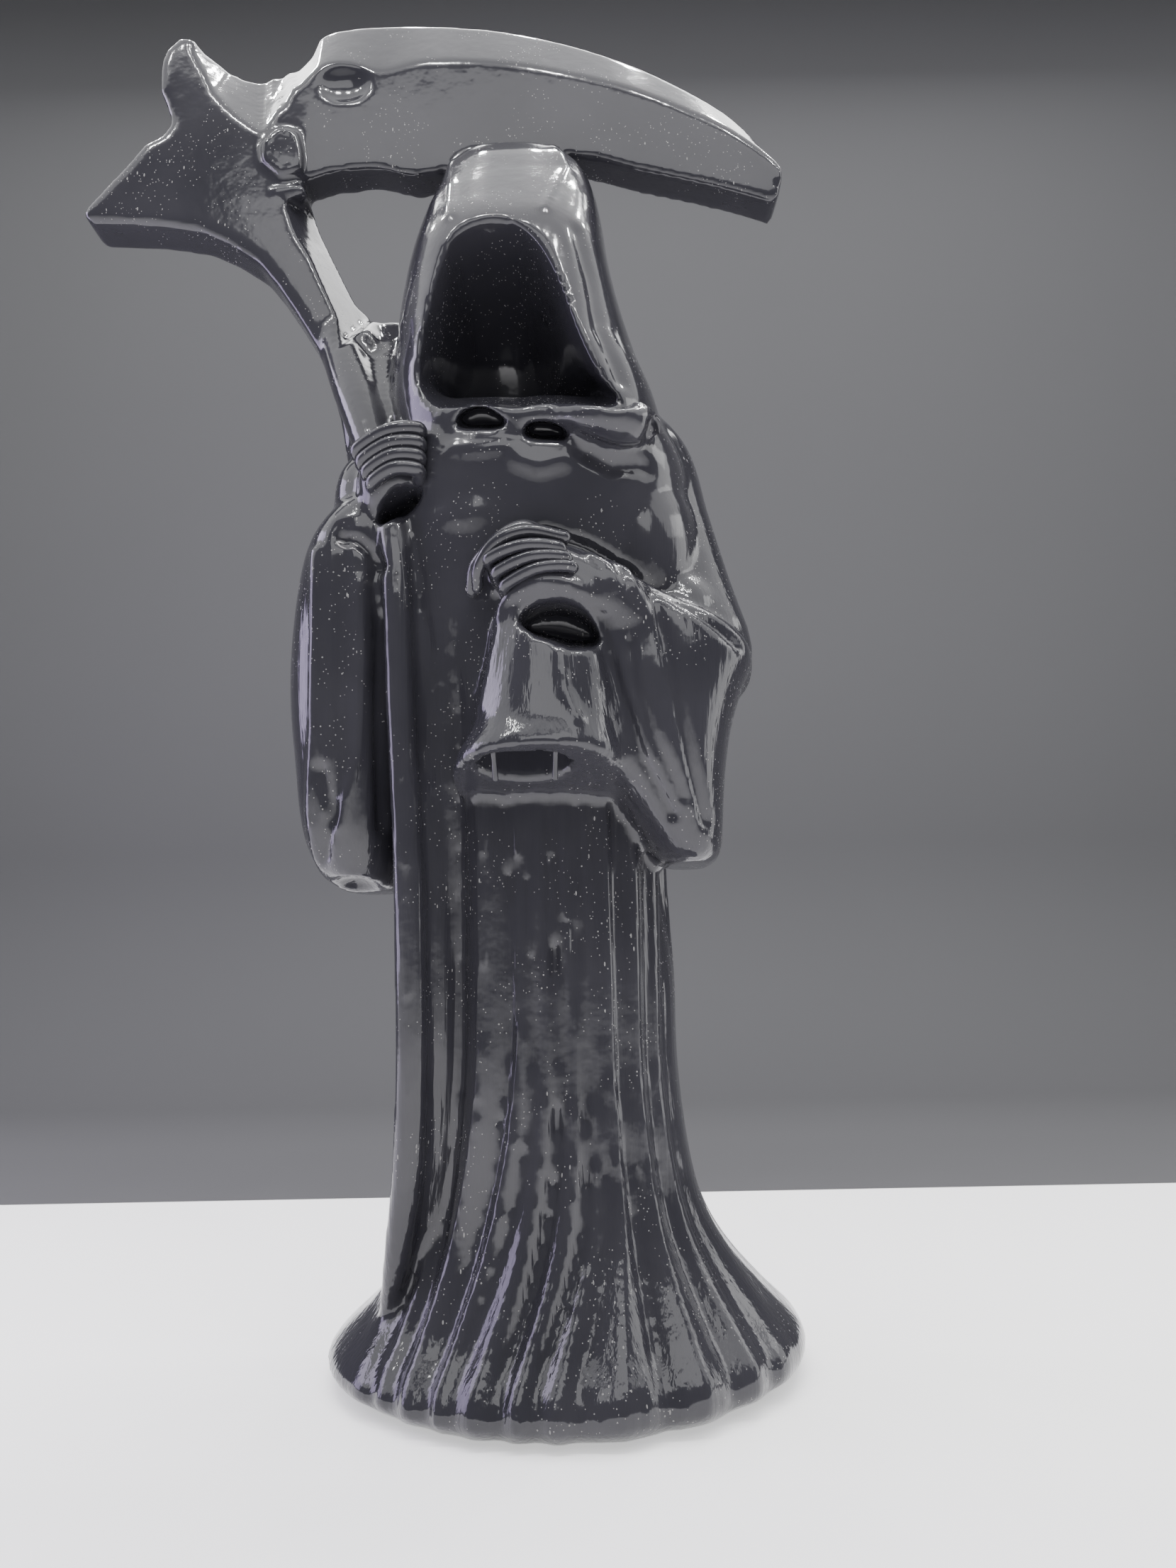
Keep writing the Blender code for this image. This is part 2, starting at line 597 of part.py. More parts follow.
def opening_cutter(collection):
    """Deep arch-shaped hollow of the hood, with a sill that rises inward."""
    middle_x, middle_z = OPENING_CENTRE
    sections = []
    for depth, size, low in OPENING_DEPTHS:
        section = []
        for x, z in OPENING:
            tall = size if z > middle_z else low
            section.append((between(middle_x, x, size), depth, between(middle_z, z, tall)))
        sections.append(section)
    return loft("opening_cutter", sections, collection)


def lip_cutter(collection):
    """Space under the hanging left sleeve; its top is the undercut lip."""
    sections = []
    left, right, bottom, reach = LIP_SPACE
    for depth in (LIP_FRONT - reach, LIP_BACK):
        fall = LIP_FALL * (depth - LIP_FRONT) / (LIP_BACK - LIP_FRONT)
        section = [(x, depth, z - fall) for x, z in SLEEVE_LIP]
        section += [(right, depth, bottom), (left, depth, bottom)]
        sections.append(section)
    return loft("lip_cutter", sections, collection)


def slanted_cutter(name, outlines, collection):
    """Cutter whose walls slant from a front outline to a back one."""
    return loft(name, [[(x, depth, z) for x, z in outline] for depth, outline in outlines], collection)


def set_modifier(form, kind, **settings):
    modifier = form.modifiers.new(kind.lower(), kind)
    for key, value in settings.items():
        setattr(modifier, key, value)
    return modifier


def applied(form):
    """Mesh of a form with its modifiers worked in."""
    graph = bpy.context.evaluated_depsgraph_get()
    mesh = bpy.data.meshes.new_from_object(form.evaluated_get(graph))
    form.modifiers.clear()
    form.data = mesh
    return form


def joined(name, forms, collection):
    """One closed body made of several overlapping ones."""
    bm = bmesh.new()
    for form in forms:
        bm.from_mesh(form.data)
        bpy.data.objects.remove(form)
    mesh = bpy.data.meshes.new(name)
    bm.to_mesh(mesh)
    bm.free()
    whole = bpy.data.objects.new(name, mesh)
    collection.objects.link(whole)
    set_modifier(whole, "REMESH", mode="VOXEL", voxel_size=VOXEL * UNIT, adaptivity=0.0)
    return applied(whole)


def cut(form, cutters):
    """Take each cutter out of a form."""
    for cutter in cutters:
        cutter.hide_render = True
        cutter.display_type = "WIRE"
        set_modifier(form, "BOOLEAN", operation="DIFFERENCE", solver="EXACT", object=cutter)
        applied(form)
    return form


def obsidian():
    material = bpy.data.materials.new("obsidian")
    material.use_nodes = True
    shader = material.node_tree.nodes["Principled BSDF"]
    shader.inputs["Base Color"].default_value = (0.012, 0.011, 0.013, 1.0)
    shader.inputs["Roughness"].default_value = 0.08
    shader.inputs["IOR"].default_value = 1.5
    return material


def build():
    for item in list(bpy.data.objects):
        bpy.data.objects.remove(item)
    figure = bpy.data.collections.new("grim_reaper_figurine")
    cutting = bpy.data.collections.new("cutters")
    bpy.context.scene.collection.children.link(figure)
    bpy.context.scene.collection.children.link(cutting)

    sleeve = joined("lower_sleeve", [
        stations_loft("lower_sleeve", LOWER_SLEEVE, SLEEVE_SQUARENESS, figure),
        stations_loft("bell", BELL, SLEEVE_SQUARENESS, figure),
        tube("upper_arm", UPPER_ARM, figure),
        tube("forearm", FOREARM, figure),
    ], figure)
    cut(sleeve, [lip_cutter(cutting), ball("sleeve_mouth", *SLEEVE_MOUTH, cutting)])
    forms = [
        sleeve,
        loft("robe", [robe_section(height) for height in heights_of(ROBE, RING_STEP)], figure),
        loft("hood", [hood_section(height) for height in heights_of(HOOD, RING_STEP)], figure),
        stations_loft("raised_sleeve", RAISED_SLEEVE, SLEEVE_SQUARENESS, figure),
        blade(figure),
        plate("scythe_head", HEAD, HEAD_FRONT, HEAD_BACK, HEAD_EDGE, figure),
        plate("boss", BOSS, BOSS_FRONT, HEAD_BACK, BOSS_EDGE, figure),
        stations_loft("web", WEB, SLEEVE_SQUARENESS, figure),
        tube("staff", STAFF, figure),
        tube("staff_bed", staff_bed(), figure),
        tube("niche_rim", NICHE_RIM, figure),
        tube("lobe", LOBE, figure),
        tube("thumb", THUMB, figure),
        tube("index_finger", INDEX_FINGER, figure),
        ball("raised_palm", *RAISED_PALM, figure),
        ball("raised_wrist", *RAISED_WRIST, figure),
        ball("lower_palm", *LOWER_PALM, figure),
        ball("chest_swell", *CHEST_SWELL, figure),
        ball("shoulder_swell", *SHOULDER_SWELL, figure),
        ball("elbow_swell", *ELBOW_SWELL, figure),
    ]
    forms += fingers("raised_finger", *RAISED_FINGERS, figure)
    forms += fingers("lower_finger", *LOWER_FINGERS, figure)
    whole = joined("grim_reaper", forms, figure)

    cutters = [opening_cutter(cutting)]
    for name, outlines in SLANTED_CUTS:
        cutters.append(slanted_cutter(name, outlines, cutting))
    for index, (centre, radii) in enumerate(HOLLOWS):
        cutters.append(ball(f"hollow_{index}", centre, radii, cutting))
    cut(whole, cutters)

    set_modifier(whole, "REMESH", mode="VOXEL", voxel_size=VOXEL * UNIT, adaptivity=0.0)
    set_modifier(whole, "SMOOTH", factor=0.5, iterations=SMOOTH_STEPS)
    applied(whole)
    triangles = 2 * len(whole.data.polygons)
    set_modifier(whole, "DECIMATE", ratio=min(1.0, FACE_LIMIT / triangles), use_collapse_triangulate=True)
    applied(whole)
    whole.data.materials.append(obsidian())


build()
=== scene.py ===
"""Grim reaper figurine, carved and polished from one piece of obsidian.

The finished carving stands on a pale studio floor. Lengths inside the forms are shares of the
figure's height: a length of 1.0 is the height divided by 220.
"""

import math

import bmesh
import bpy
import numpy as np
from mathutils import Matrix, Vector


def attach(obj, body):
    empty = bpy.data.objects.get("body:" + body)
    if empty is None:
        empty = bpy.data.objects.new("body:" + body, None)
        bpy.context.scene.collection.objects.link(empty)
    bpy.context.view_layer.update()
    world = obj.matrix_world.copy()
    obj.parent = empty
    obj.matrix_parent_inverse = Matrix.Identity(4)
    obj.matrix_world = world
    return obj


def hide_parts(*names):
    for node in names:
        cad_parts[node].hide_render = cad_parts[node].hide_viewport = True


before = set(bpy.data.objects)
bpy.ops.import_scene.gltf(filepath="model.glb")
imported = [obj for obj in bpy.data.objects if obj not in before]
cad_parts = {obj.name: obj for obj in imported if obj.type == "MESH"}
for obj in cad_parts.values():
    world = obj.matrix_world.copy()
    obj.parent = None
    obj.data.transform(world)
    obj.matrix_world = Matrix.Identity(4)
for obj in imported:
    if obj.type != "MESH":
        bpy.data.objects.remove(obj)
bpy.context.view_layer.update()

bl_info = {
    "name": "Obsidian Reaper",
    "version": (1, 0, 0),
    "blender": (4, 5, 0),
    "location": "View3D > Sidebar > Reaper",
    "description": "Carves a hooded reaper with its scythe from one block of obsidian",
    "category": "Object",
}

SHARES = 220.0
NODE = "grim_reaper"
BODY = "root"
FACE_LIMIT = 176000
ROBE_POINTS = 480

# Share of a section's depth that lies behind its widest place
BEHIND_WIDEST = 0.35

# Robe stations: height, left, right, front, back
ROBE = (
    (0.0, -31.0, 29.4, -25.8, 20.6),
    (2.2, -34.8, 33.2, -29.2, 24.0),
    (3.4, -35.2, 33.6, -29.4, 24.4),
    (5.8, -33.2, 33.0, -28.6, 23.8),
    (10.0, -28.6, 28.6, -26.0, 21.6),
    (16.0, -24.8, 23.2, -23.2, 19.4),
    (22.0, -22.6, 19.7, -21.2, 17.8),
    (30.0, -21.2, 17.6, -19.8, 16.6),
    (42.0, -20.8, 16.3, -18.9, 15.6),
    (55.0, -21.0, 16.2, -18.6, 15.2),
    (68.0, -22.2, 15.6, -18.7, 15.2),
    (85.0, -24.6, 15.6, -19.3, 15.4),
    (105.0, -27.0, 17.6, -20.4, 15.6),
    (120.0, -27.6, 20.0, -22.4, 15.4),
    (131.0, -27.0, 20.2, -23.4, 14.4),
    (139.0, -25.6, 17.2, -20.0, 12.8),
    (147.0, -22.0, 12.2, -14.0, 10.8),
)
HEM_SQUARENESS = 0.98
WAIST_SQUARENESS = 0.76
HEM_FLARE = 34.0

# Fold valleys of the robe front: side position at heights 66, 40, 22 and 6, then depth
FOLD_HEIGHTS = (66.0, 40.0, 22.0, 6.0)
FRONT_FOLDS = (
    (-19.6, -18.8, -20.0, -25.6, 1.8),
    (-15.2, -15.6, -18.0, -22.8, 2.7),
    (-7.2, -8.3, -12.2, -18.0, 3.0),
    (-5.0, -4.8, -8.0, -14.6, 2.2),
    (-1.4, -0.9, -3.0, -8.6, 3.0),
    (2.0, 3.0, 2.2, -4.0, 2.8),
    (4.8, 4.7, 5.0, 1.0, 2.0),
    (7.9, 8.2, 9.6, 12.4, 2.8),
    (12.8, 12.5, 15.0, 21.4, 2.4),
    (15.2, 14.9, 18.0, 26.6, 1.6),
)
EDGE_ROLL = 4.0
ROLL_FULLNESS = 0.85
FOLD_FADE = 16.0
FINE_FOLDS = (0.34, 0.68)
FINE_FOLD_DEPTH = 0.4
FINE_FOLD_WIDTH = 0.7
FOLD_TOP = 106.0
HEM_FOLDS = 0.3
HEM_FADE = 9.0
HEM_GROWTH = 0.5
HEM_GROWTH_TOP = 30.0
BACK_FOLDS = 9
BACK_FOLD_DEPTH = 1.1
BACK_FOLD_SWAY = 0.9
BACK_FOLD_SWAY_HEIGHT = 34.0

# Hood stations: height, left, right, front, back
HOOD = (
    (128.0, -22.5, 12.5, -22.4, 12.0),
    (131.0, -24.5, 15.2, -24.0, 12.8),
    (136.0, -25.6, 17.0, -24.8, 13.2),
    (143.0, -26.4, 16.0, -24.9, 13.2),
    (150.0, -26.2, 13.4, -24.2, 12.8),
    (158.0, -25.2, 10.9, -23.0, 12.2),
    (166.0, -23.6, 9.0, -21.4, 11.2),
    (174.0, -21.8, 8.0, -17.2, 9.8),
    (181.0, -19.8, 6.9, -13.2, 7.8),
    (186.0, -18.2, 5.2, -10.4, 5.8),
    (189.4, -16.2, 2.2, -7.8, 3.2),
    (190.6, -14.8, 0.6, -6.6, 2.0),
)
HOOD_SQUARENESS = 0.86
CROWN_SQUARENESS = 0.62
CROWN_LOW = 150.0
CROWN_HIGH = 176.0
OPENING = (
    (-7.6, 166.4), (-4.4, 165.0), (-1.6, 161.8), (0.5, 157.6), (2.1, 153.0), (3.7, 147.6),
    (5.4, 142.8), (7.4, 138.8), (10.0, 135.4), (11.4, 133.6), (8.0, 133.0), (3.6, 133.8),
    (-1.0, 134.0), (-5.4, 133.4), (-9.6, 133.8), (-14.4, 133.6), (-18.6, 133.8),
    (-21.4, 138.0), (-20.8, 146.4), (-19.4, 152.4), (-17.6, 159.0), (-15.2, 164.0),
    (-11.2, 166.2),
)
OPENING_CENTRE = (-7.6, 149.0)
OPENING_DEPTHS = (
    (-34.0, 1.16, 1.3), (-27.5, 1.06, 1.1), (-25.6, 1.01, 1.03), (-24.0, 0.97, 0.97),
    (-21.0, 0.92, 0.85), (-17.0, 0.86, 0.66), (-12.0, 0.81, 0.44), (-6.0, 0.74, 0.3),
    (0.0, 0.62, 0.2), (4.0, 0.42, 0.13), (5.8, 0.16, 0.05),
)

# Blade stations from the head to the tip: top edge, ridge, cutting edge
BLADE = (
    ((-52.0, 209.6), (-50.6, 200.0), (-52.0, 178.0)),
    ((-47.6, 212.5), (-46.8, 201.4), (-47.6, 182.0)),
    ((-43.9, 214.8), (-43.6, 204.0), (-43.4, 186.6)),
    ((-40.2, 218.2), (-40.0, 207.2), (-40.6, 187.6)),
    ((-36.5, 219.4), (-36.3, 208.4), (-36.8, 188.8)),
    ((-28.9, 220.0), (-29.0, 206.6), (-29.6, 189.2)),
    ((-22.6, 219.9), (-21.8, 208.4), (-22.6, 187.8)),
    ((-10.0, 218.7), (-9.7, 208.0), (-9.0, 190.4)),
    ((2.5, 215.6), (2.4, 205.6), (4.0, 190.8)),
    ((14.9, 210.6), (14.2, 202.0), (13.6, 188.2)),
    ((27.1, 203.2), (25.8, 196.4), (25.2, 185.2)),
    ((33.6, 197.0), (32.0, 192.4), (32.8, 182.8)),
    ((37.8, 190.4), (36.8, 188.4), (36.2, 181.6)),
    ((38.8, 187.4), (38.2, 186.4), (37.4, 182.6)),
)
BLADE_FRONT = -4.2
BLADE_BACK = 4.4
BLADE_TOP_FRONT = 0.4
BLADE_TOP_BACK = 2.6
BLADE_EDGE_FRONT = -3.2
BLADE_EDGE_BACK = 3.8
BLADE_EDGE_RISE = 0.6

# Scythe head with horn, fish tail and staff seen from the front
HEAD = (
    (-47.6, 212.4), (-53.8, 211.6), (-60.0, 213.6), (-63.4, 214.8), (-66.2, 212.0),
    (-67.0, 208.6), (-66.8, 204.4), (-65.4, 201.0), (-64.6, 198.0), (-65.8, 195.8),
    (-69.0, 194.0), (-71.7, 190.2), (-75.0, 186.2), (-78.8, 181.4), (-77.4, 179.8),
    (-71.3, 179.6), (-65.2, 179.0), (-59.1, 177.8), (-54.1, 175.3), (-49.1, 171.8),
    (-46.0, 167.8), (-42.8, 162.8), (-39.4, 157.0), (-36.8, 150.0), (-35.0, 143.5),
    (-33.6, 135.0), (-32.4, 126.0), (-25.0, 126.0), (-25.6, 140.0), (-27.6, 148.6),
    (-29.0, 156.0), (-30.4, 163.0), (-33.9, 167.2), (-35.8, 171.0), (-38.3, 176.4),
    (-40.2, 180.4), (-42.4, 187.0), (-41.0, 195.0), (-40.0, 205.0), (-42.0, 211.4),
)
HEAD_FRONT = -4.0
HEAD_BACK = 4.2
HEAD_EDGE = 0.9
# Saddle between the staff and the hood, below the see-through gap
WEB = (
    (126.0, -32.0, -20.0, -12.4, 4.0),
    (138.0, -33.0, -20.6, -11.8, 4.2),
    (144.0, -33.4, -20.8, -9.6, 4.2),
    (150.0, -33.6, -21.4, -6.6, 4.0),
    (156.0, -33.6, -22.4, -3.4, 3.8),
    (161.0, -33.2, -23.0, -0.6, 3.4),
    (163.4, -32.8, -23.6, 0.8, 2.8),
)
# Groove of the saddle, from the foot of the see-through gap down to the hand: axis, radius
SADDLE = (
    (-29.0, 5.0, 173.6, 3.2),
    (-28.9, 1.0, 168.6, 3.0),
    (-28.7, -3.6, 161.8, 2.6),
    (-28.2, -8.4, 154.0, 2.0),
    (-27.6, -12.8, 146.0, 1.4),
)
# Pockets and facets cut with slanting walls: depth and outline in front, depth and outline behind
HORN_CUT = (
    (-8.8, ((-63.4, 208.3), (-60.9, 202.9), (-58.0, 195.4), (-53.6, 189.6), (-47.4, 184.5), (-44.1, 191.2),
            (-41.6, 197.4), (-38.2, 201.6), (-33.6, 219.6), (-61.2, 219.6))),
    (6.4, ((-57.4, 218.7), (-56.5, 218.5), (-55.2, 218.6), (-53.6, 218.4), (-51.4, 218.9), (-49.0, 218.0),
           (-46.4, 218.2), (-44.2, 220.8), (-41.6, 227.6), (-57.2, 227.6))),
)
STAFF_CUT = (
    (-8.8, ((-48.1, 181.6), (-45.8, 174.2), (-42.4, 168.4), (-40.0, 162.6), (-35.4, 151.6), (-28.6, 156.0),
            (-33.2, 182.6), (-41.5, 182.6))),
    (6.4, ((-39.7, 186.1), (-37.3, 180.6), (-35.8, 177.2), (-33.5, 172.2), (-31.6, 168.5), (-28.6, 166.8),
           (-29.2, 184.6), (-37.5, 186.6))),
)
NICHE = (
    (-29.0, ((-6.0, 101.4), (-5.0, 103.2), (-2.6, 104.3), (0.2, 104.5), (3.0, 103.7), (5.2, 101.6),
             (6.2, 98.8), (5.4, 96.6), (1.6, 96.8), (-3.0, 98.8))),
    (-18.0, ((-4.8, 103.4), (-4.0, 104.2), (-2.2, 105.0), (0.2, 105.2), (2.8, 104.4), (4.6, 103.0),
             (5.2, 101.8), (4.4, 101.4), (1.4, 101.6), (-2.4, 102.6))),
)
LEFT_POCKET = (
    (-26.6, ((-15.4, 129.4), (-14.0, 131.7), (-11.8, 133.0), (-9.5, 132.7), (-7.4, 131.3), (-5.8, 129.4),
             (-8.6, 128.9), (-12.0, 128.9))),
    (-17.0, ((-14.2, 135.2), (-13.4, 136.8), (-11.6, 137.8), (-9.6, 137.5), (-7.9, 136.5), (-6.9, 135.2),
             (-9.2, 134.8), (-12.0, 134.8))),
)
RIGHT_POCKET = (
    (-26.6, ((-5.2, 128.8), (-3.4, 130.3), (-0.6, 130.3), (1.5, 129.1), (3.2, 127.1), (0.8, 127.1),
             (-1.6, 127.2), (-3.8, 127.5))),
    (-17.0, ((-4.6, 134.4), (-3.2, 135.4), (-0.8, 135.3), (1.1, 134.3), (2.4, 132.8), (0.6, 132.9),
             (-1.8, 133.0), (-3.8, 133.3))),
)
SLEEVE_POCKET = (
    (-22.0, ((-27.2, 118.8), (-25.6, 122.0), (-22.9, 124.4), (-18.8, 125.2), (-19.2, 122.6), (-22.3, 120.2),
             (-25.2, 118.4))),
    (-11.0, ((-25.4, 121.2), (-24.4, 122.8), (-22.5, 124.2), (-20.0, 124.8), (-20.0, 123.4), (-22.1, 122.0),
             (-24.3, 121.0))),
)
BOSS = (
    (-48.6, 192.4), (-46.0, 195.2), (-43.2, 194.6), (-42.4, 191.0), (-42.2, 187.8),
    (-45.2, 187.0), (-48.2, 189.8),
)
BOSS_FRONT = -5.3
BOSS_EDGE = 0.9

# Staff below the hand: side, depth and height of its axis, radius
STAFF = (
    (-38.0, 0.4, 164.0, 3.0),
    (-35.2, -2.4, 156.0, 3.4),
    (-32.4, -5.8, 148.0, 3.6),
    (-29.6, -9.4, 140.0, 3.4),
    (-27.4, -12.4, 133.0, 3.0),
    (-25.6, -15.0, 126.5, 2.5),
    (-24.0, -17.0, 120.0, 2.2),
    (-23.4, -17.9, 116.0, 2.1),
    (-22.9, -18.4, 108.0, 2.1),
    (-22.2, -18.2, 92.0, 2.1),
    (-21.5, -17.6, 78.0, 2.1),
    (-21.0, -16.8, 64.0, 2.2),
    (-20.7, -16.1, 44.0, 2.2),
    (-21.2, -15.0, 30.0, 2.2),
    (-22.8, -13.0, 19.0, 1.9),
    (-24.6, -9.6, 11.0, 1.3),
)
# Stone left between the staff and the robe: shift of its axis from the staff, extra radius
STAFF_BED = (2.4, 4.4, 1.2)

# Sleeves: height, left, right, front, back
SLEEVE_SQUARENESS = 0.84
RAISED_SLEEVE = (
    (67.6, -32.0, -24.4, -11.0, 2.0),
    (69.2, -34.8, -23.6, -13.6, 4.0),
    (73.0, -37.4, -22.8, -15.6, 5.4),
    (78.0, -38.9, -22.4, -16.6, 6.2),
    (86.0, -39.9, -22.0, -17.2, 7.0),
    (94.0, -40.8, -21.8, -17.6, 7.4),
    (102.0, -41.0, -21.4, -17.8, 7.6),
    (110.0, -40.4, -21.0, -18.2, 7.6),
    (117.0, -39.2, -20.6, -18.4, 7.2),
    (121.0, -37.6, -20.2, -18.0, 6.6),
    (125.0, -35.0, -20.0, -16.0, 5.8),
    (130.0, -33.2, -21.0, -11.0, 5.0),
    (134.0, -32.4, -22.0, -7.0, 4.6),
)
LOWER_SLEEVE = (
    (70.0, 14.6, 21.0, -19.0, -4.0),
    (71.2, 13.0, 22.2, -21.0, -3.4),
    (76.0, 9.6, 22.8, -23.0, -2.6),
    (80.0, 6.6, 23.1, -24.2, -2.0),
    (84.6, 3.0, 23.6, -25.2, -2.0),
    (90.0, 1.0, 24.6, -25.6, -2.0),
    (95.0, 0.0, 26.2, -25.6, -2.4),
    (100.0, -1.0, 27.8, -25.2, -4.0),
    (104.0, -2.0, 24.0, -25.0, -8.0),
    (108.0, -3.0, 14.0, -24.6, -12.0),
    (111.0, -3.0, 7.0, -24.2, -15.0),
)
BELL = (
    (77.0, -15.4, 8.8, -30.8, -14.0),
    (81.0, -14.8, 8.8, -30.8, -14.0),
    (84.6, -14.0, 8.9, -30.6, -14.0),
    (88.0, -12.2, 8.5, -29.2, -14.0),
    (92.0, -11.0, 8.1, -28.3, -14.0),
    (97.0, -10.0, 7.7, -27.6, -14.0),
    (102.0, -9.0, 7.6, -27.0, -14.0),
    (106.0, -7.8, 7.2, -26.4, -14.0),
    (109.0, -6.4, 5.8, -25.2, -15.0),
)
NICHE_RIM = (
    (-8.4, -20.6, 101.4, 1.0),
    (-7.2, -23.8, 105.0, 1.1),
    (-2.4, -26.8, 107.0, 1.2),
    (2.8, -26.6, 106.0, 1.2),
    (6.2, -24.6, 103.6, 1.1),
    (7.0, -24.0, 98.0, 0.9),
)
UPPER_ARM = (
    (9.6, 1.0, 141.0, 7.6),
    (12.8, -1.0, 134.0, 8.9),
    (14.6, -2.6, 124.0, 9.2),
    (17.6, -5.0, 112.0, 8.9),
    (20.6, -8.0, 102.6, 8.2),
)
FOREARM = (
    (21.4, -9.0, 100.0, 7.2),
    (14.6, -17.6, 101.4, 6.4),
    (7.6, -21.4, 105.8, 5.0),
    (1.0, -23.4, 109.6, 3.9),
    (-3.0, -24.2, 110.8, 3.4),
)
SLEEVE_LIP = (
    (-22.0, 84.5), (8.2, 84.5), (12.6, 77.2), (15.5, 74.6), (19.7, 71.0), (26.0, 69.6),
)
LIP_FRONT = -31.0
LIP_BACK = -16.0
LIP_FALL = 5.4
# Corner of the space cleared under the lip: left, right, bottom, reach in front
LIP_SPACE = (-22.0, 26.0, 58.0, 6.0)

# Ellipsoid swells and hollows: centre, radii
SWELLS = (
    ((-24.2, -16.2, 126.6), (4.9, 4.7, 6.4)),
    ((-29.6, -9.4, 126.0), (4.4, 6.0, 8.0)),
    ((-3.4, -23.2, 110.2), (6.4, 3.2, 4.2)),
    ((-10.5, -13.4, 120.0), (10.8, 9.0, 7.6)),
    ((11.0, -6.0, 117.0), (10.6, 13.4, 17.0)),
    ((17.2, -9.2, 107.0), (7.2, 8.0, 7.4)),
)
HOLLOWS = (
    ((-30.0, -10.0, 66.6), (4.2, 5.0, 3.4)),
    ((-35.3, -4.8, 204.3), (5.0, 2.0, 3.9)),
    ((13.8, -23.4, 129.6), (1.6, 3.4, 3.0)),
)
# Mouth of the bell-shaped sleeve, on its underside
SLEEVE_MOUTH = ((-4.6, -24.7, 83.6), (6.2, 3.5, 6.8))

# Rows of fingers: left end of the top one, step to the next; its right end, step; radius, count
RAISED_FINGERS = (
    (-28.5, -19.4, 130.4), (0.8, -0.3, -1.85), (-19.7, -21.6, 132.2), (0.0, 0.0, -2.07), 1.08, 4,
)
LOWER_FINGERS = ((-8.9, -26.2, 110.9), (1.05, 0.1, -1.9), (0.3, -27.4, 111.7), (0.75, 0.0, -1.35), 0.9, 3)
# Bent fingers: how far the ends turn back and down, how far the middle arches out and up
FINGER_END = (2.0, 0.6)
FINGER_ARCH = (0.9, 0.7)
THUMB = (
    (-11.8, -21.6, 108.0, 1.1),
    (-11.0, -23.4, 110.6, 1.2),
    (-8.0, -25.0, 113.6, 1.2),
    (-4.6, -25.2, 115.2, 1.4),
    (-1.6, -23.6, 114.6, 1.4),
)
MOUTH_POSTS = (
    ((-8.6, -27.4, 84.4, 0.4), (-8.5, -26.6, 82.8, 0.35), (-8.4, -25.8, 80.6, 0.4)),
    ((-0.4, -27.4, 84.4, 0.4), (-0.5, -26.6, 82.8, 0.35), (-0.6, -25.8, 80.6, 0.4)),
)

# Rolled end of the hood rim, at the left shoulder of the figure
LOBE = (
    (-2.2, -22.4, 133.4, 0.9),
    (1.6, -24.4, 132.4, 1.5),
    (5.2, -25.6, 131.4, 2.5),
    (8.6, -25.6, 130.8, 3.3),
    (11.4, -23.8, 131.2, 3.0),
    (13.4, -21.4, 132.0, 2.0),
)
INDEX_FINGER = (
    (1.0, -25.6, 113.8, 1.0),
    (-4.0, -26.6, 114.4, 1.0),
    (-8.2, -26.2, 113.0, 1.0),
    (-10.6, -24.8, 110.0, 0.9),
    (-11.0, -23.0, 107.8, 0.8),
)

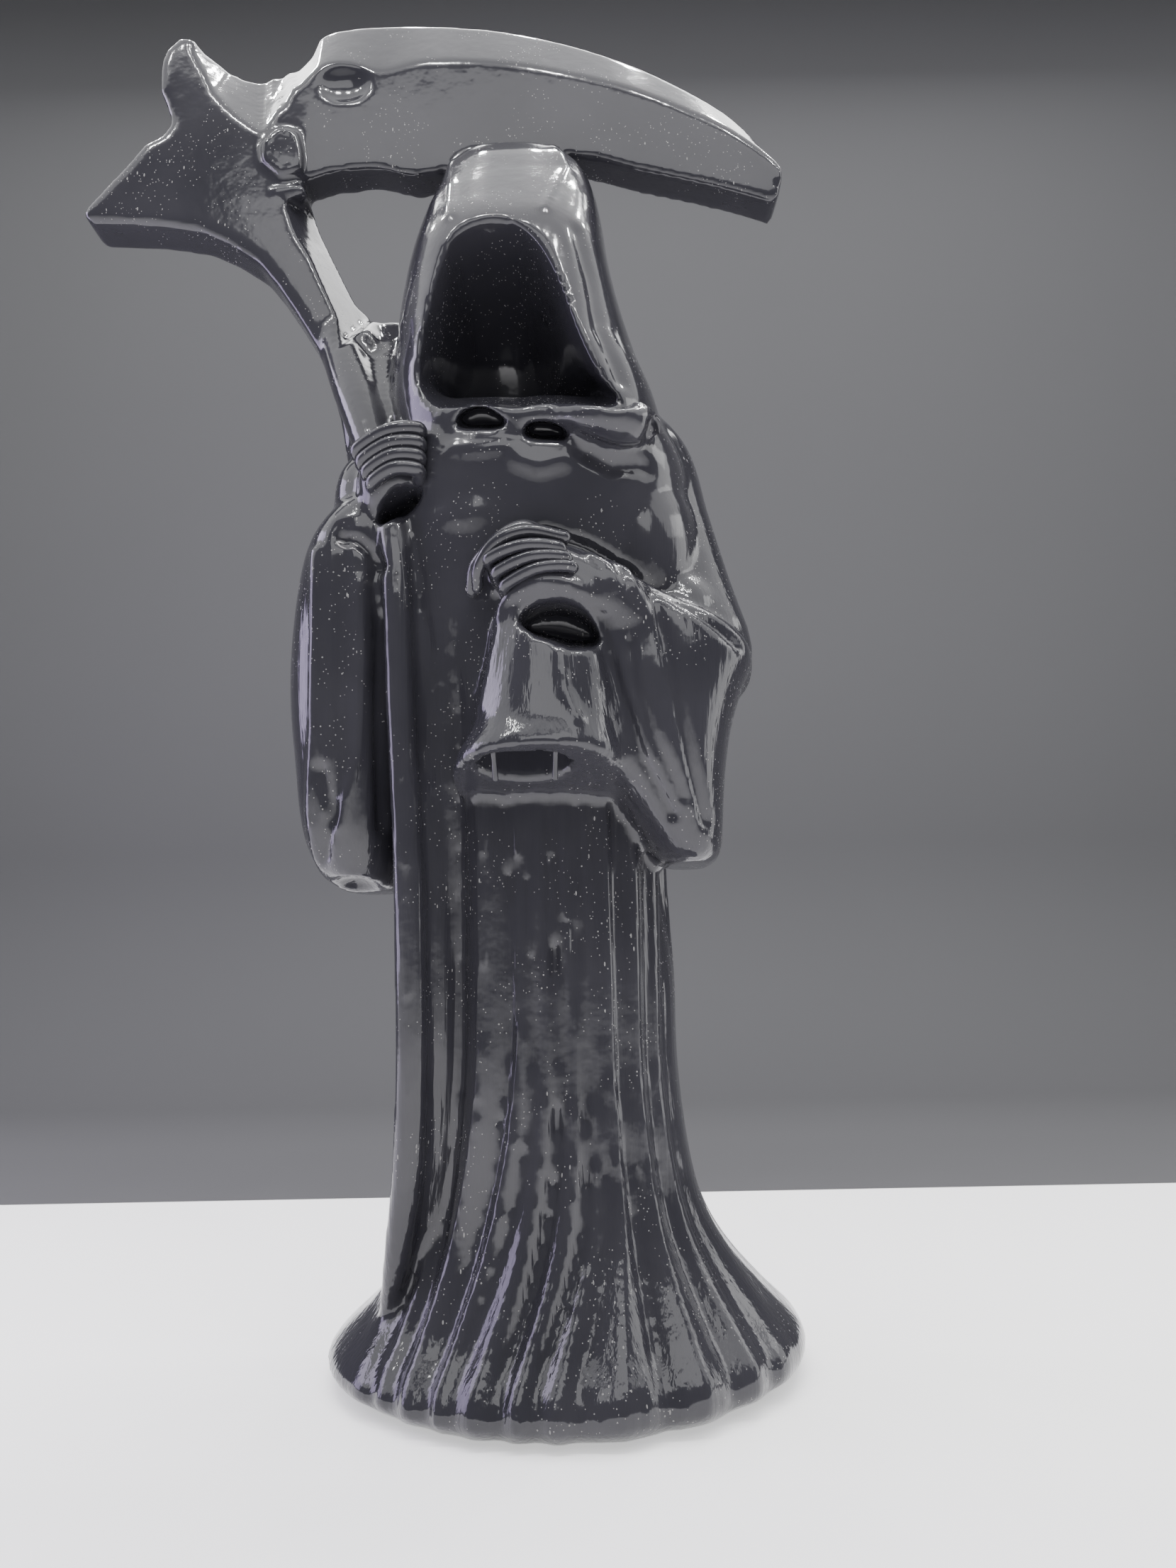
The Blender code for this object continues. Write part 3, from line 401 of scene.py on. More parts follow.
# Lines cut into the front: (side, height) points, width, depth (below zero is a raised line)
CARVED_LINES = (
    # scythe: rim of the boss and the step below it
    (((-46.6, 184.4), (-41.8, 184.8)), 0.6, -0.4),
    (((-48.4, 192.2), (-46.0, 195.0), (-43.3, 194.4), (-42.5, 191.0), (-42.5, 188.0), (-45.2, 187.2),
      (-48.0, 189.8), (-48.4, 192.2)), 0.5, -0.5),
    # raised sleeve
    (((-31.0, 119.0), (-30.6, 110.0), (-30.8, 98.0), (-30.6, 86.0), (-32.0, 77.0)), 1.0, 0.6),
    (((-28.4, 111.0), (-28.0, 100.0), (-28.4, 86.0), (-30.8, 76.0)), 0.7, -0.5),
    (((-35.0, 116.0), (-34.6, 104.0), (-34.6, 90.0), (-35.4, 78.0), (-34.6, 70.0)), 0.9, -0.6),
    (((-26.4, 114.0), (-25.8, 104.0), (-25.8, 92.0), (-25.4, 76.0)), 0.8, 0.8),
    (((-31.2, 117.6), (-28.6, 117.0), (-26.6, 115.2), (-25.2, 112.6)), 0.8, 1.0),
    (((-33.6, 84.0), (-32.0, 78.0), (-33.4, 72.0)), 0.8, 0.7),
    # lower sleeve
    (((5.8, 102.6), (6.6, 98.0), (8.4, 91.0), (11.0, 83.0), (14.6, 76.0)), 0.9, 1.0),
    (((9.6, 99.0), (10.0, 93.0), (12.4, 86.0), (16.2, 78.0)), 0.7, 0.6),
    (((13.0, 106.6), (14.2, 100.0), (15.6, 92.0), (17.6, 82.0), (19.4, 75.0)), 0.9, 0.8),
    (((-7.8, 103.0), (-8.8, 98.0), (-10.6, 91.0)), 1.0, -0.6),
    (((0.4, 97.0), (0.8, 92.0), (2.6, 87.6)), 0.8, -0.6),
    (((-2.0, 116.0), (4.0, 114.4), (9.0, 112.0), (13.6, 108.0), (19.8, 103.4), (25.0, 99.6)), 0.8, 1.0),
    (((4.6, 111.2), (7.0, 109.6), (8.2, 106.6)), 0.5, -0.5),
    (((6.8, 111.6), (9.4, 109.6), (10.6, 106.2)), 0.5, -0.5),
    # chest: soft rims below the pockets, groove below the rolled hood end
    (((-5.6, 126.6), (-2.4, 125.4), (1.0, 126.4)), 1.5, -0.5),
    (((-14.6, 128.6), (-10.6, 128.2), (-6.6, 128.5)), 1.3, -0.5),
    (((4.2, 127.6), (8.0, 125.8), (12.6, 126.8)), 1.2, 0.9),
    # hood cheek
    (((3.6, 165.0), (5.6, 156.0), (6.6, 148.0), (9.6, 140.0)), 1.2, 0.6),
    (((-16.8, 187.0), (-16.0, 178.0), (-15.4, 167.0)), 0.9, -0.4),
    (((0.2, 188.6), (2.2, 181.0), (-1.0, 168.0)), 0.9, -0.4),
)

# Height up to which the long vertical tool marks show, in metres at the default size
TOOL_MARK_TOP = 0.128

# Steps of the sections, in shares, and of the small tubes that are laid on at the end
SECTION_STEP = 1.0
BLADE_STEPS = 4
OPENING_STEPS = 3
OUTLINE_STEPS = 4
DOME_SHARES = (0.92, 0.7, 0.35)
ARM_POINTS = 64
GROOVE_POINTS = 48
FINGER_POINTS = 16
FINGER_STEP = 0.4
POST_POINTS = 12
POST_STEP = 0.3

# How far a surface must face the front before the carved lines start on it, and over what share
FACING_START = 0.05
FACING_SPAN = 0.45

# Rough scale of the finish, in cells per metre, and the share of each part of the relief
CLOUD_SCALE = 60.0
PATCH_SCALE = 110.0
RIPPLE_SCALE = 380.0
STREAK_SCALE = 1500.0
TOOL_MARK_FADE = 40.0
RELIEF_SHARES = (0.6, 0.4, 0.5)
RELIEF_HEIGHT = 0.0004
CLOUD_ROUGHNESS = 0.07
DUST_ROUGHNESS = 0.4
DUST_COVER = 0.3
GLASS_INDEX = 1.5

# Stage: reach to the sides, floor from front to back, and the backdrop, which lies on the floor
# behind the figure, bends and rises
STAGE_REACH = 2.0
FLOOR_HEIGHT = -0.0002
FLOOR_FRONT = -2.0
FLOOR_BACK = 0.3
BACKDROP_FRONT = 0.12
BACKDROP_HEIGHT = -0.0001
BEND_START = 0.3
BEND_RADIUS = 0.12
BEND_STEPS = 12
BACKDROP_TOP = 1.6
FLOOR_GLOW = 0.7
AIR_COLOUR = (0.55, 0.56, 0.6, 1.0)
AIR_STRENGTH = 0.35

# Soft lights: place, aim, width and height, power, colour
WHITE = (1.0, 1.0, 1.0)
SIDE_LIGHTS = (
    ("front_light", (0.058, -0.42, 0.42), (0.0, 0.0, 0.16), (0.5, 0.2), 0.92, WHITE),
    ("left_light", (-0.4, 0.02, 0.2), (0.0, 0.0, 0.1), (0.2, 0.36), 1.1, (0.76, 0.66, 1.0)),
    ("right_light", (0.42, 0.05, 0.2), (0.0, 0.0, 0.1), (0.2, 0.36), 0.6, WHITE),
    ("rear_light", (0.0, 0.26, 0.66), (0.0, 0.02, 0.08), (0.7, 0.2), 2.0, WHITE),
)

# Two rows of small lamps under the top light: how many, step, depth of each row, height, size, power
LAMP_COUNT = 9
LAMP_STEP = 0.045
LAMP_ROWS = (("front", -0.16), ("back", 0.05))
LAMP_HEIGHT = 0.40
LAMP_SIZE = 0.009
LAMP_POWER = 0.1

# Camera: place, upward tilt, roll and lens of a close wide view
CAMERA_PLACE = (0.0037, -0.166, 0.05625)
CAMERA_TILT = math.radians(9.501)
CAMERA_ROLL = math.radians(-1.082)
CAMERA_LENS = 24.965
CAMERA_SENSOR = 36.0


def between(low, high, share):
    return low + (high - low) * share


def station_at(stations, height):
    """Read a row between two stations, eased so that the profile has no corners."""
    if height <= stations[0][0]:
        return stations[0][1:]
    for row in range(1, len(stations)):
        if height <= stations[row][0]:
            before = stations[max(row - 2, 0)]
            low = stations[row - 1]
            high = stations[row]
            after = stations[min(row + 1, len(stations) - 1)]
            span = high[0] - low[0]
            t = (height - low[0]) / span
            values = []
            for column in range(1, len(low)):
                low_slope = (high[column] - before[column]) / max(high[0] - before[0], 0.001)
                high_slope = (after[column] - low[column]) / max(after[0] - low[0], 0.001)
                values.append(
                    (2 * t**3 - 3 * t**2 + 1) * low[column]
                    + (t**3 - 2 * t**2 + t) * span * low_slope
                    + (-2 * t**3 + 3 * t**2) * high[column]
                    + (t**3 - t**2) * span * high_slope
                )
            return tuple(values)
    return stations[-1][1:]


def heights_of(stations, step):
    """Heights for the sections: every station and even steps between them."""
    heights = []
    for low, high in zip(stations, stations[1:]):
        count = max(1, round((high[0] - low[0]) / step))
        heights += [between(low[0], high[0], index / count) for index in range(count)]
    heights.append(stations[-1][0])
    return heights


def oval(height, left, right, front, back, squareness, count=120):
    """Closed section with its own reach to each side, seen from above, anticlockwise."""
    middle_x = (left + right) / 2
    middle_y = between(back, front, BEHIND_WIDEST)
    points = []
    for index in range(count):
        angle = 2 * math.pi * index / count
        across = math.cos(angle)
        along = math.sin(angle)
        reach_y = back - middle_y if along > 0 else middle_y - front
        x = middle_x + (right - left) / 2 * math.copysign(abs(across) ** squareness, across)
        y = middle_y + reach_y * math.copysign(abs(along) ** squareness, along)
        points.append(Vector((x, y, height)))
    return points


def hood_section(height):
    """Section of the hood, rounder at the shoulders and flatter in front of the crown."""
    share = min(1.0, max(0.0, (height - CROWN_LOW) / (CROWN_HIGH - CROWN_LOW)))
    squareness = between(HOOD_SQUARENESS, CROWN_SQUARENESS, share)
    return oval(height, *station_at(HOOD, height), squareness)


def fold_side(fold, height):
    """Side position of a front fold at one height, eased through its four points."""
    rows = tuple(zip(reversed(FOLD_HEIGHTS), reversed(fold[:4])))
    return station_at(rows, height)[0]


def roll_depth(x, height):
    """How far the robe front is pressed in: round rolls of cloth between the fold valleys."""
    sides = [fold_side(fold, height) for fold in FRONT_FOLDS]
    sides = [sides[0] - EDGE_ROLL] + sides + [sides[-1] + EDGE_ROLL]
    depths = [0.0] + [fold[4] for fold in FRONT_FOLDS] + [0.0]
    for index in range(len(depths) - 1):
        if sides[index] <= x < sides[index + 1]:
            share = (x - sides[index]) / (sides[index + 1] - sides[index])
            depth = between(depths[index], depths[index + 1], share)
            return depth * (1.0 - math.sin(math.pi * share) ** ROLL_FULLNESS)
    return 0.0


def robe_section(height, fold_depth):
    """Section of the robe with its folds pressed in."""
    left, right, front, back = station_at(ROBE, height)
    squareness = between(HEM_SQUARENESS, WAIST_SQUARENESS, min(1.0, height / HEM_FLARE))
    middle_x = (left + right) / 2
    middle_y = (front + back) / 2
    fade = min(1.0, max(0.0, (FOLD_TOP - height) / FOLD_FADE))
    growth = 1.0 + HEM_GROWTH * max(0.0, 1.0 - height / HEM_GROWTH_TOP)
    growth *= between(HEM_FOLDS, 1.0, min(1.0, height / HEM_FADE))
    folded = []
    for x, y, z in oval(height, left, right, front, back, squareness, ROBE_POINTS):
        away = math.hypot(x - middle_x, y - middle_y)
        inward = 0.0
        if y < middle_y:
            inward = roll_depth(x, height) * fold_depth
            for low, high in zip(FRONT_FOLDS, FRONT_FOLDS[1:]):
                for share in FINE_FOLDS:
                    place = between(fold_side(low, height), fold_side(high, height), share)
                    gap = (x - place) / FINE_FOLD_WIDTH
                    inward += FINE_FOLD_DEPTH * fold_depth * math.exp(-gap * gap)
        else:
            turn = math.atan2(y - middle_y, x - middle_x)
            wave = math.sin(turn * BACK_FOLDS + BACK_FOLD_SWAY * math.sin(height / BACK_FOLD_SWAY_HEIGHT))
            inward += BACK_FOLD_DEPTH * fold_depth * max(0.0, wave) * math.sin(turn)
        share = 1.0 - inward * fade * growth / away
        folded.append(Vector((middle_x + (x - middle_x) * share, middle_y + (y - middle_y) * share, z)))
    return folded


def skin(sections):
    """Closed form through even sections: the rings of a drum are moved onto them."""
    count = len(sections[0])
    rings = len(sections)
    bm = bmesh.new()
    bmesh.ops.create_cone(bm, cap_ends=True, segments=count, radius1=1.0, radius2=1.0, depth=rings - 1.0)
    sides = [edge for edge in bm.edges if abs(edge.verts[0].co.z - edge.verts[1].co.z) > 0.5]
    if rings > 2:
        bmesh.ops.subdivide_edges(bm, edges=sides, cuts=rings - 2, use_grid_fill=True)
    step = 2 * math.pi / count
    for vert in bm.verts:
        ring = round(vert.co.z + (rings - 1) / 2)
        index = round((math.atan2(vert.co.y, vert.co.x) - math.pi / 2) / step) % count
        vert.co = sections[ring][index]
    return bm


def stations_skin(stations, squareness):
    """Closed form of oval sections through its stations."""
    heights = heights_of(stations, SECTION_STEP)
    return skin([oval(height, *station_at(stations, height), squareness) for height in heights])


def tube(stations, count=24, step=0.6):
    """Round form of changing thickness along an eased line, with domed ends."""
    rows = [(float(index),) + tuple(row) for index, row in enumerate(stations)]
    length = sum((Vector(b[:3]) - Vector(a[:3])).length for a, b in zip(stations, stations[1:]))
    steps = max(6, round(length / step))
    path = [station_at(rows, (len(rows) - 1) * index / steps) for index in range(steps + 1)]
    sections = []
    side = Vector((0.31, 0.87, 0.23))
    for index, (x, y, z, radius) in enumerate(path):
        ahead = Vector(path[min(index + 1, steps)][:3]) - Vector(path[max(index - 1, 0)][:3])
        ahead.normalize()
        across = (side - ahead * side.dot(ahead)).normalized()
        up = ahead.cross(across)
        section = []
        for turn in range(count):
            angle = 2 * math.pi * turn / count
            section.append(Vector((x, y, z)) + radius * (math.cos(angle) * across + math.sin(angle) * up))
        if index in (0, steps):
            out = ahead * (-1.0 if index == 0 else 1.0)
            middle = Vector((x, y, z))
            dome = []
            for share in DOME_SHARES:
                rise = out * radius * math.sqrt(1.0 - share * share)
                dome.append([middle + (point - middle) * share + rise for point in section])
            if index == 0:
                sections += list(reversed(dome)) + [section]
            else:
                sections += [section] + dome
        else:
            sections.append(section)
    return skin(sections)


def plate(outline, front, back, edge):
    """Flat outline pushed from front to back, with rounded rims."""
    bm = bmesh.new()
    bm.faces.new([bm.verts.new((x, front, z)) for x, z in outline])
    pushed = bmesh.ops.extrude_face_region(bm, geom=bm.faces[:])
    moved = [item for item in pushed["geom"] if isinstance(item, bmesh.types.BMVert)]
    bmesh.ops.translate(bm, vec=(0, back - front, 0), verts=moved)
    rims = [item for item in bm.edges if abs(item.verts[0].co.y - item.verts[1].co.y) < 0.001]
    bmesh.ops.bevel(bm, geom=rims, offset=edge, segments=2, profile=0.5, affect="EDGES", material=-1)
    return bm


def ball(centre, radii):
    """Ellipsoid round a centre."""
    bm = bmesh.new()
    bmesh.ops.create_uvsphere(bm, u_segments=40, v_segments=28, radius=1.0)
    bmesh.ops.scale(bm, vec=radii, verts=bm.verts)
    bmesh.ops.translate(bm, vec=centre, verts=bm.verts)
    return bm


def blade():
    """Blade with a bevelled upper band, drawn through its stations."""
    rows = []
    for index, (top, ridge, low) in enumerate(BLADE):
        rows.append((float(index),) + top + ridge + low)
    sections = []
    for place in range(BLADE_STEPS * (len(BLADE) - 1) + 1):
        top_x, top_z, ridge_x, ridge_z, low_x, low_z = station_at(rows, place / BLADE_STEPS)
        sections.append([Vector(point) for point in (
            (low_x, BLADE_EDGE_BACK, low_z + BLADE_EDGE_RISE),
            (low_x, BLADE_EDGE_FRONT, low_z),
            (ridge_x, BLADE_FRONT, ridge_z),
            (top_x, BLADE_TOP_FRONT, top_z),
            (top_x, BLADE_TOP_BACK, top_z),
            (ridge_x, BLADE_BACK, ridge_z),
        )])
    return skin(sections)


def finger_rows(start, start_step, end, end_step, radius, count):
    """Row of bent fingers, arched upward and forward."""
    back, down = FINGER_END
    out, up = FINGER_ARCH
    rows = []
    for index in range(count):
        first = [a + b * index for a, b in zip(start, start_step)]
        last = [a + b * index for a, b in zip(end, end_step)]
        middle = [between(a, b, 0.5) for a, b in zip(first, last)]
        rows.append((
            (first[0], first[1] + back, first[2] - down, radius),
            (first[0], first[1], first[2], radius),
            (middle[0], middle[1] - out, middle[2] + up, radius),
            (last[0], last[1], last[2], radius),
            (last[0], last[1] + back, last[2] - down, radius),
        ))
    return rows


def staff_bed():
    """Axis and radius of the stone between the staff and the robe."""
    right, behind, thicker = STAFF_BED
    return [(x + right, y + behind, z, radius + thicker) for x, y, z, radius in STAFF]


def eased_outline(outline):
    """Closed outline with three eased points added between its own."""
    eased = []
    for index in range(len(outline) * OUTLINE_STEPS):
        here, part = divmod(index, OUTLINE_STEPS)
        knots = [outline[(here + shift) % len(outline)] for shift in (-1, 0, 1, 2)]
        rows = tuple((float(row),) + knot for row, knot in enumerate(knots))
        eased.append(station_at(rows, 1.0 + part / OUTLINE_STEPS))
    return eased


def opening_skin():
    """Deep arch-shaped hollow of the hood, with a sill that rises inward."""
    rows = [(float(index),) + row for index, row in enumerate(OPENING_DEPTHS)]
    middle_x, middle_z = OPENING_CENTRE
    sections = []
    for step in range(OPENING_STEPS * (len(rows) - 1) + 1):
        depth, size, low = station_at(rows, step / OPENING_STEPS)
        section = []
        for x, z in eased_outline(OPENING):
            tall = size if z > middle_z else low
            section.append(Vector((between(middle_x, x, size), depth, between(middle_z, z, tall))))
        sections.append(section)
    return skin(sections)


def lip_skin():
    """Space under the hanging lower sleeve; its top is the undercut lip."""
    sections = []
    left, right, bottom, reach = LIP_SPACE
    for depth in (LIP_FRONT - reach, LIP_BACK):
        fall = LIP_FALL * (depth - LIP_FRONT) / (LIP_BACK - LIP_FRONT)
        section = [Vector((x, depth, z - fall)) for x, z in SLEEVE_LIP]
        section += [Vector((right, depth, bottom)), Vector((left, depth, bottom))]
        sections.append(section)
    return skin(sections)


def slanted_skin(outlines):
    """Cutter whose walls slant from a front outline to a back one."""
    return skin([[Vector((x, depth, z)) for x, z in outline] for depth, outline in outlines])


def as_object(name, skins, unit):
    """One object made of several closed forms, in metres, facing out."""
    whole = bmesh.new()
    for bm in skins:
        bmesh.ops.recalc_face_normals(bm, faces=bm.faces)
        if bm.calc_volume(signed=True) < 0.0:
            bmesh.ops.reverse_faces(bm, faces=bm.faces)
        mesh = bpy.data.meshes.new(name)
        bm.to_mesh(mesh)
        bm.free()
        whole.from_mesh(mesh)
        bpy.data.meshes.remove(mesh)
    bmesh.ops.scale(whole, vec=(unit, unit, unit), verts=whole.verts)
    mesh = bpy.data.meshes.new(name)
    whole.to_mesh(mesh)
    whole.free()
    made = bpy.data.objects.new(name, mesh)
    bpy.context.scene.collection.objects.link(made)
    return made


def worked(piece, kind, **settings):
    """Work one modifier into the mesh of a piece."""
    modifier = piece.modifiers.new(kind.lower(), kind)
    for key, value in settings.items():
        setattr(modifier, key, value)
    graph = bpy.context.evaluated_depsgraph_get()
    mesh = bpy.data.meshes.new_from_object(piece.evaluated_get(graph))
    piece.modifiers.clear()
    old = piece.data
    piece.data = mesh
    bpy.data.meshes.remove(old)


def carved(name, skins, cuts, sizes):
    """One closed form made of overlapping ones, with rounds of hollows cut out of it."""
    unit = sizes.height / SHARES
    piece = as_object(name, skins, unit)
    worked(piece, "REMESH", mode="VOXEL", voxel_size=sizes.grain, adaptivity=0.0)
    for hollows in cuts:
        cutter = as_object("hollows", hollows, unit)
        worked(piece, "BOOLEAN", operation="DIFFERENCE", solver="EXACT", object=cutter)
        bpy.data.objects.remove(cutter)
    return piece


def taken(piece, unit):
    """Form of a finished piece, in shares, for joining into another."""
    bm = bmesh.new()
    bm.from_mesh(piece.data)
    bmesh.ops.scale(bm, vec=(1 / unit, 1 / unit, 1 / unit), verts=bm.verts)
    bpy.data.objects.remove(piece)
    return bm


def line_gap(x, z, points):
    """Distance in the front view from each vertex to a carved line."""
    gap = np.full(x.shape, 1e6)
    for (ax, az), (bx, bz) in zip(points, points[1:]):
        length = max((bx - ax) ** 2 + (bz - az) ** 2, 1e-6)
        share = np.clip(((x - ax) * (bx - ax) + (z - az) * (bz - az)) / length, 0.0, 1.0)
        gap = np.minimum(gap, np.hypot(x - ax - share * (bx - ax), z - az - share * (bz - az)))
    return gap


def carve_lines(piece, unit):
    """Press the carved lines into the front of the figure, along its normals."""
    mesh = piece.data
    places = np.empty(len(mesh.vertices) * 3)
    mesh.vertices.foreach_get("co", places)
    places = places.reshape(-1, 3) / unit
    normals = np.empty(len(mesh.vertices) * 3)
    mesh.vertices.foreach_get("normal", normals)
    normals = normals.reshape(-1, 3)
    facing = np.clip((-normals[:, 1] - FACING_START) / FACING_SPAN, 0.0, 1.0)
    push = np.zeros(len(places))
    for points, width, depth in CARVED_LINES:
        gap = line_gap(places[:, 0], places[:, 2], points)
        push -= depth * np.exp(-(gap / width) ** 2) * facing
    places += normals * push[:, None]
    mesh.vertices.foreach_set("co", (places * unit).ravel())
    mesh.update()


class Wire:
    """A shader socket with arithmetic: an expression on wires adds its Math nodes."""

    def __init__(self, tree, socket):
        self.tree = tree
        self.socket = socket

    def math(self, operation, *values):
        return add_node(self.tree, "ShaderNodeMath", {"operation": operation}, dict(enumerate(values)))

    def __add__(self, other):
        return self.math("ADD", self, other)

    def __radd__(self, other):
        return self.math("ADD", other, self)

    def __sub__(self, other):
        return self.math("SUBTRACT", self, other)

    def __rsub__(self, other):
        return self.math("SUBTRACT", other, self)

    def __mul__(self, other):
        return self.math("MULTIPLY", self, other)

    def __rmul__(self, other):
        return self.math("MULTIPLY", other, self)

    def __gt__(self, other):
        return self.math("GREATER_THAN", self, other)


def add_node(tree, kind, settings, values, output=0):
    """Add one node: its settings first, then the values or wires of its sockets.

    An output of None is for the last node, which has no output to pass on.
    """
    node = tree.nodes.new(kind)
    for key, value in settings.items():
        setattr(node, key, value)
    for key, value in values.items():
        if isinstance(value, Wire):
            tree.links.new(value.socket, node.inputs[key])
        else:
            node.inputs[key].default_value = value
    return None if output is None else Wire(tree, node.outputs[output])


def specks(tree, place, scale, reach, patch, limit):
    """Mask of small round specks, kept where a cloudy patch is above its limit."""
    gap = add_node(tree, "ShaderNodeTexVoronoi", {}, {"Vector": place, "Scale": scale}, "Distance")
    return (1.0 - (gap > reach)) * (patch > limit)


def obsidian_material(look):
    """Near-black volcanic glass: hand-polished ripple, tool lines, cloudy sheen and dust specks."""
    material = bpy.data.materials.new("polished_obsidian")
    material.use_nodes = True
    tree = material.node_tree
    tree.nodes.clear()
    place = add_node(tree, "ShaderNodeTexCoord", {}, {}, "Object")
    tall = add_node(tree, "ShaderNodeMapping", {}, {"Vector": place, "Scale": (1.0, 1.0, 0.04)})
    lint = add_node(tree, "ShaderNodeMapping", {}, {
        "Vector": place, "Rotation": (0.3, 0.5, 0.2), "Scale": (1.0, 1.0, 0.35)})
    clouds, streaks, ripple, patch = (
        add_node(tree, "ShaderNodeTexNoise", {}, {"Vector": where, "Scale": scale, "Detail": detail})
        for where, scale, detail in (
            (place, CLOUD_SCALE, 4.0),
            (tall, STREAK_SCALE, 2.0),
            (place, RIPPLE_SCALE, 2.0),
            (place, PATCH_SCALE, 5.0),
        )
    )
    dust = specks(tree, place, 1500.0, 0.13, patch, 0.5)
    dust = dust + specks(tree, place, 760.0, 0.09, patch, 0.54) + specks(tree, lint, 900.0, 0.1, patch, 0.55)
    stone = add_node(tree, "ShaderNodeMix", {"data_type": "RGBA"}, {
        0: clouds, 6: (*look.stone_dark, 1.0), 7: (*look.stone_light, 1.0)}, 2)
    colour = add_node(tree, "ShaderNodeMix", {"data_type": "RGBA"}, {
        0: dust * DUST_COVER, 6: stone, 7: (*look.dust_colour, 1.0)}, 2)
    up = add_node(tree, "ShaderNodeSeparateXYZ", {}, {"Vector": place}, "Z")
    robe = add_node(tree, "ShaderNodeMath", {"operation": "MULTIPLY", "use_clamp": True}, {
        0: TOOL_MARK_TOP - up, 1: TOOL_MARK_FADE})
    marks, ripples, swells = RELIEF_SHARES
    height = streaks * robe * marks + ripple * ripples + clouds * swells
    bump = add_node(tree, "ShaderNodeBump", {}, {
        "Height": height, "Strength": look.tool_marks, "Distance": RELIEF_HEIGHT}, "Normal")
    rough = look.roughness + CLOUD_ROUGHNESS * clouds + DUST_ROUGHNESS * dust
    shader = add_node(tree, "ShaderNodeBsdfPrincipled", {}, {
        "Base Color": colour, "Roughness": rough, "Normal": bump, "IOR": GLASS_INDEX}, "BSDF")
    add_node(tree, "ShaderNodeOutputMaterial", {}, {"Surface": shader}, None)
    return material


def plain_material(name, colour, roughness, glow=0.0):
    """Matt, faintly uneven finish of the studio, with a little light of its own where glow is set."""
    material = bpy.data.materials.new(name)
    material.use_nodes = True
    tree = material.node_tree
    tree.nodes.clear()
    place = add_node(tree, "ShaderNodeTexCoord", {}, {}, "Object")
    grain = add_node(tree, "ShaderNodeTexNoise", {}, {"Vector": place, "Scale": 14.0, "Detail": 2.0})
    shade = add_node(tree, "ShaderNodeMix", {"data_type": "RGBA"}, {
        0: grain, 6: (*[0.97 * part for part in colour], 1.0), 7: (*colour, 1.0)}, 2)
    shader = add_node(tree, "ShaderNodeBsdfPrincipled", {}, {
        "Base Color": shade, "Roughness": roughness,
        "Emission Color": (*WHITE, 1.0), "Emission Strength": glow}, "BSDF")
    add_node(tree, "ShaderNodeOutputMaterial", {}, {"Surface": shader}, None)
    return material


class CarvingSizes(bpy.types.PropertyGroup):
    height: bpy.props.FloatProperty(
        name="Height", description="Height of the figure from the ground to the top of the blade",
        default=0.220, min=0.05, unit="LENGTH")
    fold_depth: bpy.props.FloatProperty(
        name="Fold depth", description="How deep the folds of the robe are pressed in",
        default=1.0, min=0.0, max=2.0, subtype="FACTOR")
    grain: bpy.props.FloatProperty(
        name="Grain", description="Edge length of the surface cells",
        default=0.00062, min=0.0003, unit="LENGTH")


class StoneLook(bpy.types.PropertyGroup):
    stone_dark: bpy.props.FloatVectorProperty(
        name="Dark stone", description="Colour of the darkest glass",
        default=(0.013, 0.013, 0.017), size=3, subtype="COLOR")
    stone_light: bpy.props.FloatVectorProperty(
        name="Light stone", description="Colour of the cloudy glass",
        default=(0.036, 0.035, 0.042), size=3, subtype="COLOR")
    dust_colour: bpy.props.FloatVectorProperty(
        name="Dust", description="Colour of the fine dust on the glass",
        default=(0.55, 0.54, 0.52), size=3, subtype="COLOR")
    roughness: bpy.props.FloatProperty(
        name="Roughness", description="Polish of the glass: lower is shinier",
        default=0.07, min=0.0, max=1.0, subtype="FACTOR")
    tool_marks: bpy.props.FloatProperty(
        name="Tool marks", description="Strength of the fine lines left by carving",
        default=0.3, min=0.0, max=1.0, subtype="FACTOR")


class StudioLook(bpy.types.PropertyGroup):
    floor_colour: bpy.props.FloatVectorProperty(
        name="Floor", description="Colour of the studio floor",
        default=(0.9, 0.89, 0.9), size=3, subtype="COLOR")
    wall_colour: bpy.props.FloatVectorProperty(
        name="Backdrop", description="Colour of the backdrop",
        default=(0.084, 0.084, 0.088), size=3, subtype="COLOR")
    top_power: bpy.props.FloatProperty(
        name="Top light", description="Power of the overhead light",
        default=10.0, min=0.0, unit="POWER")


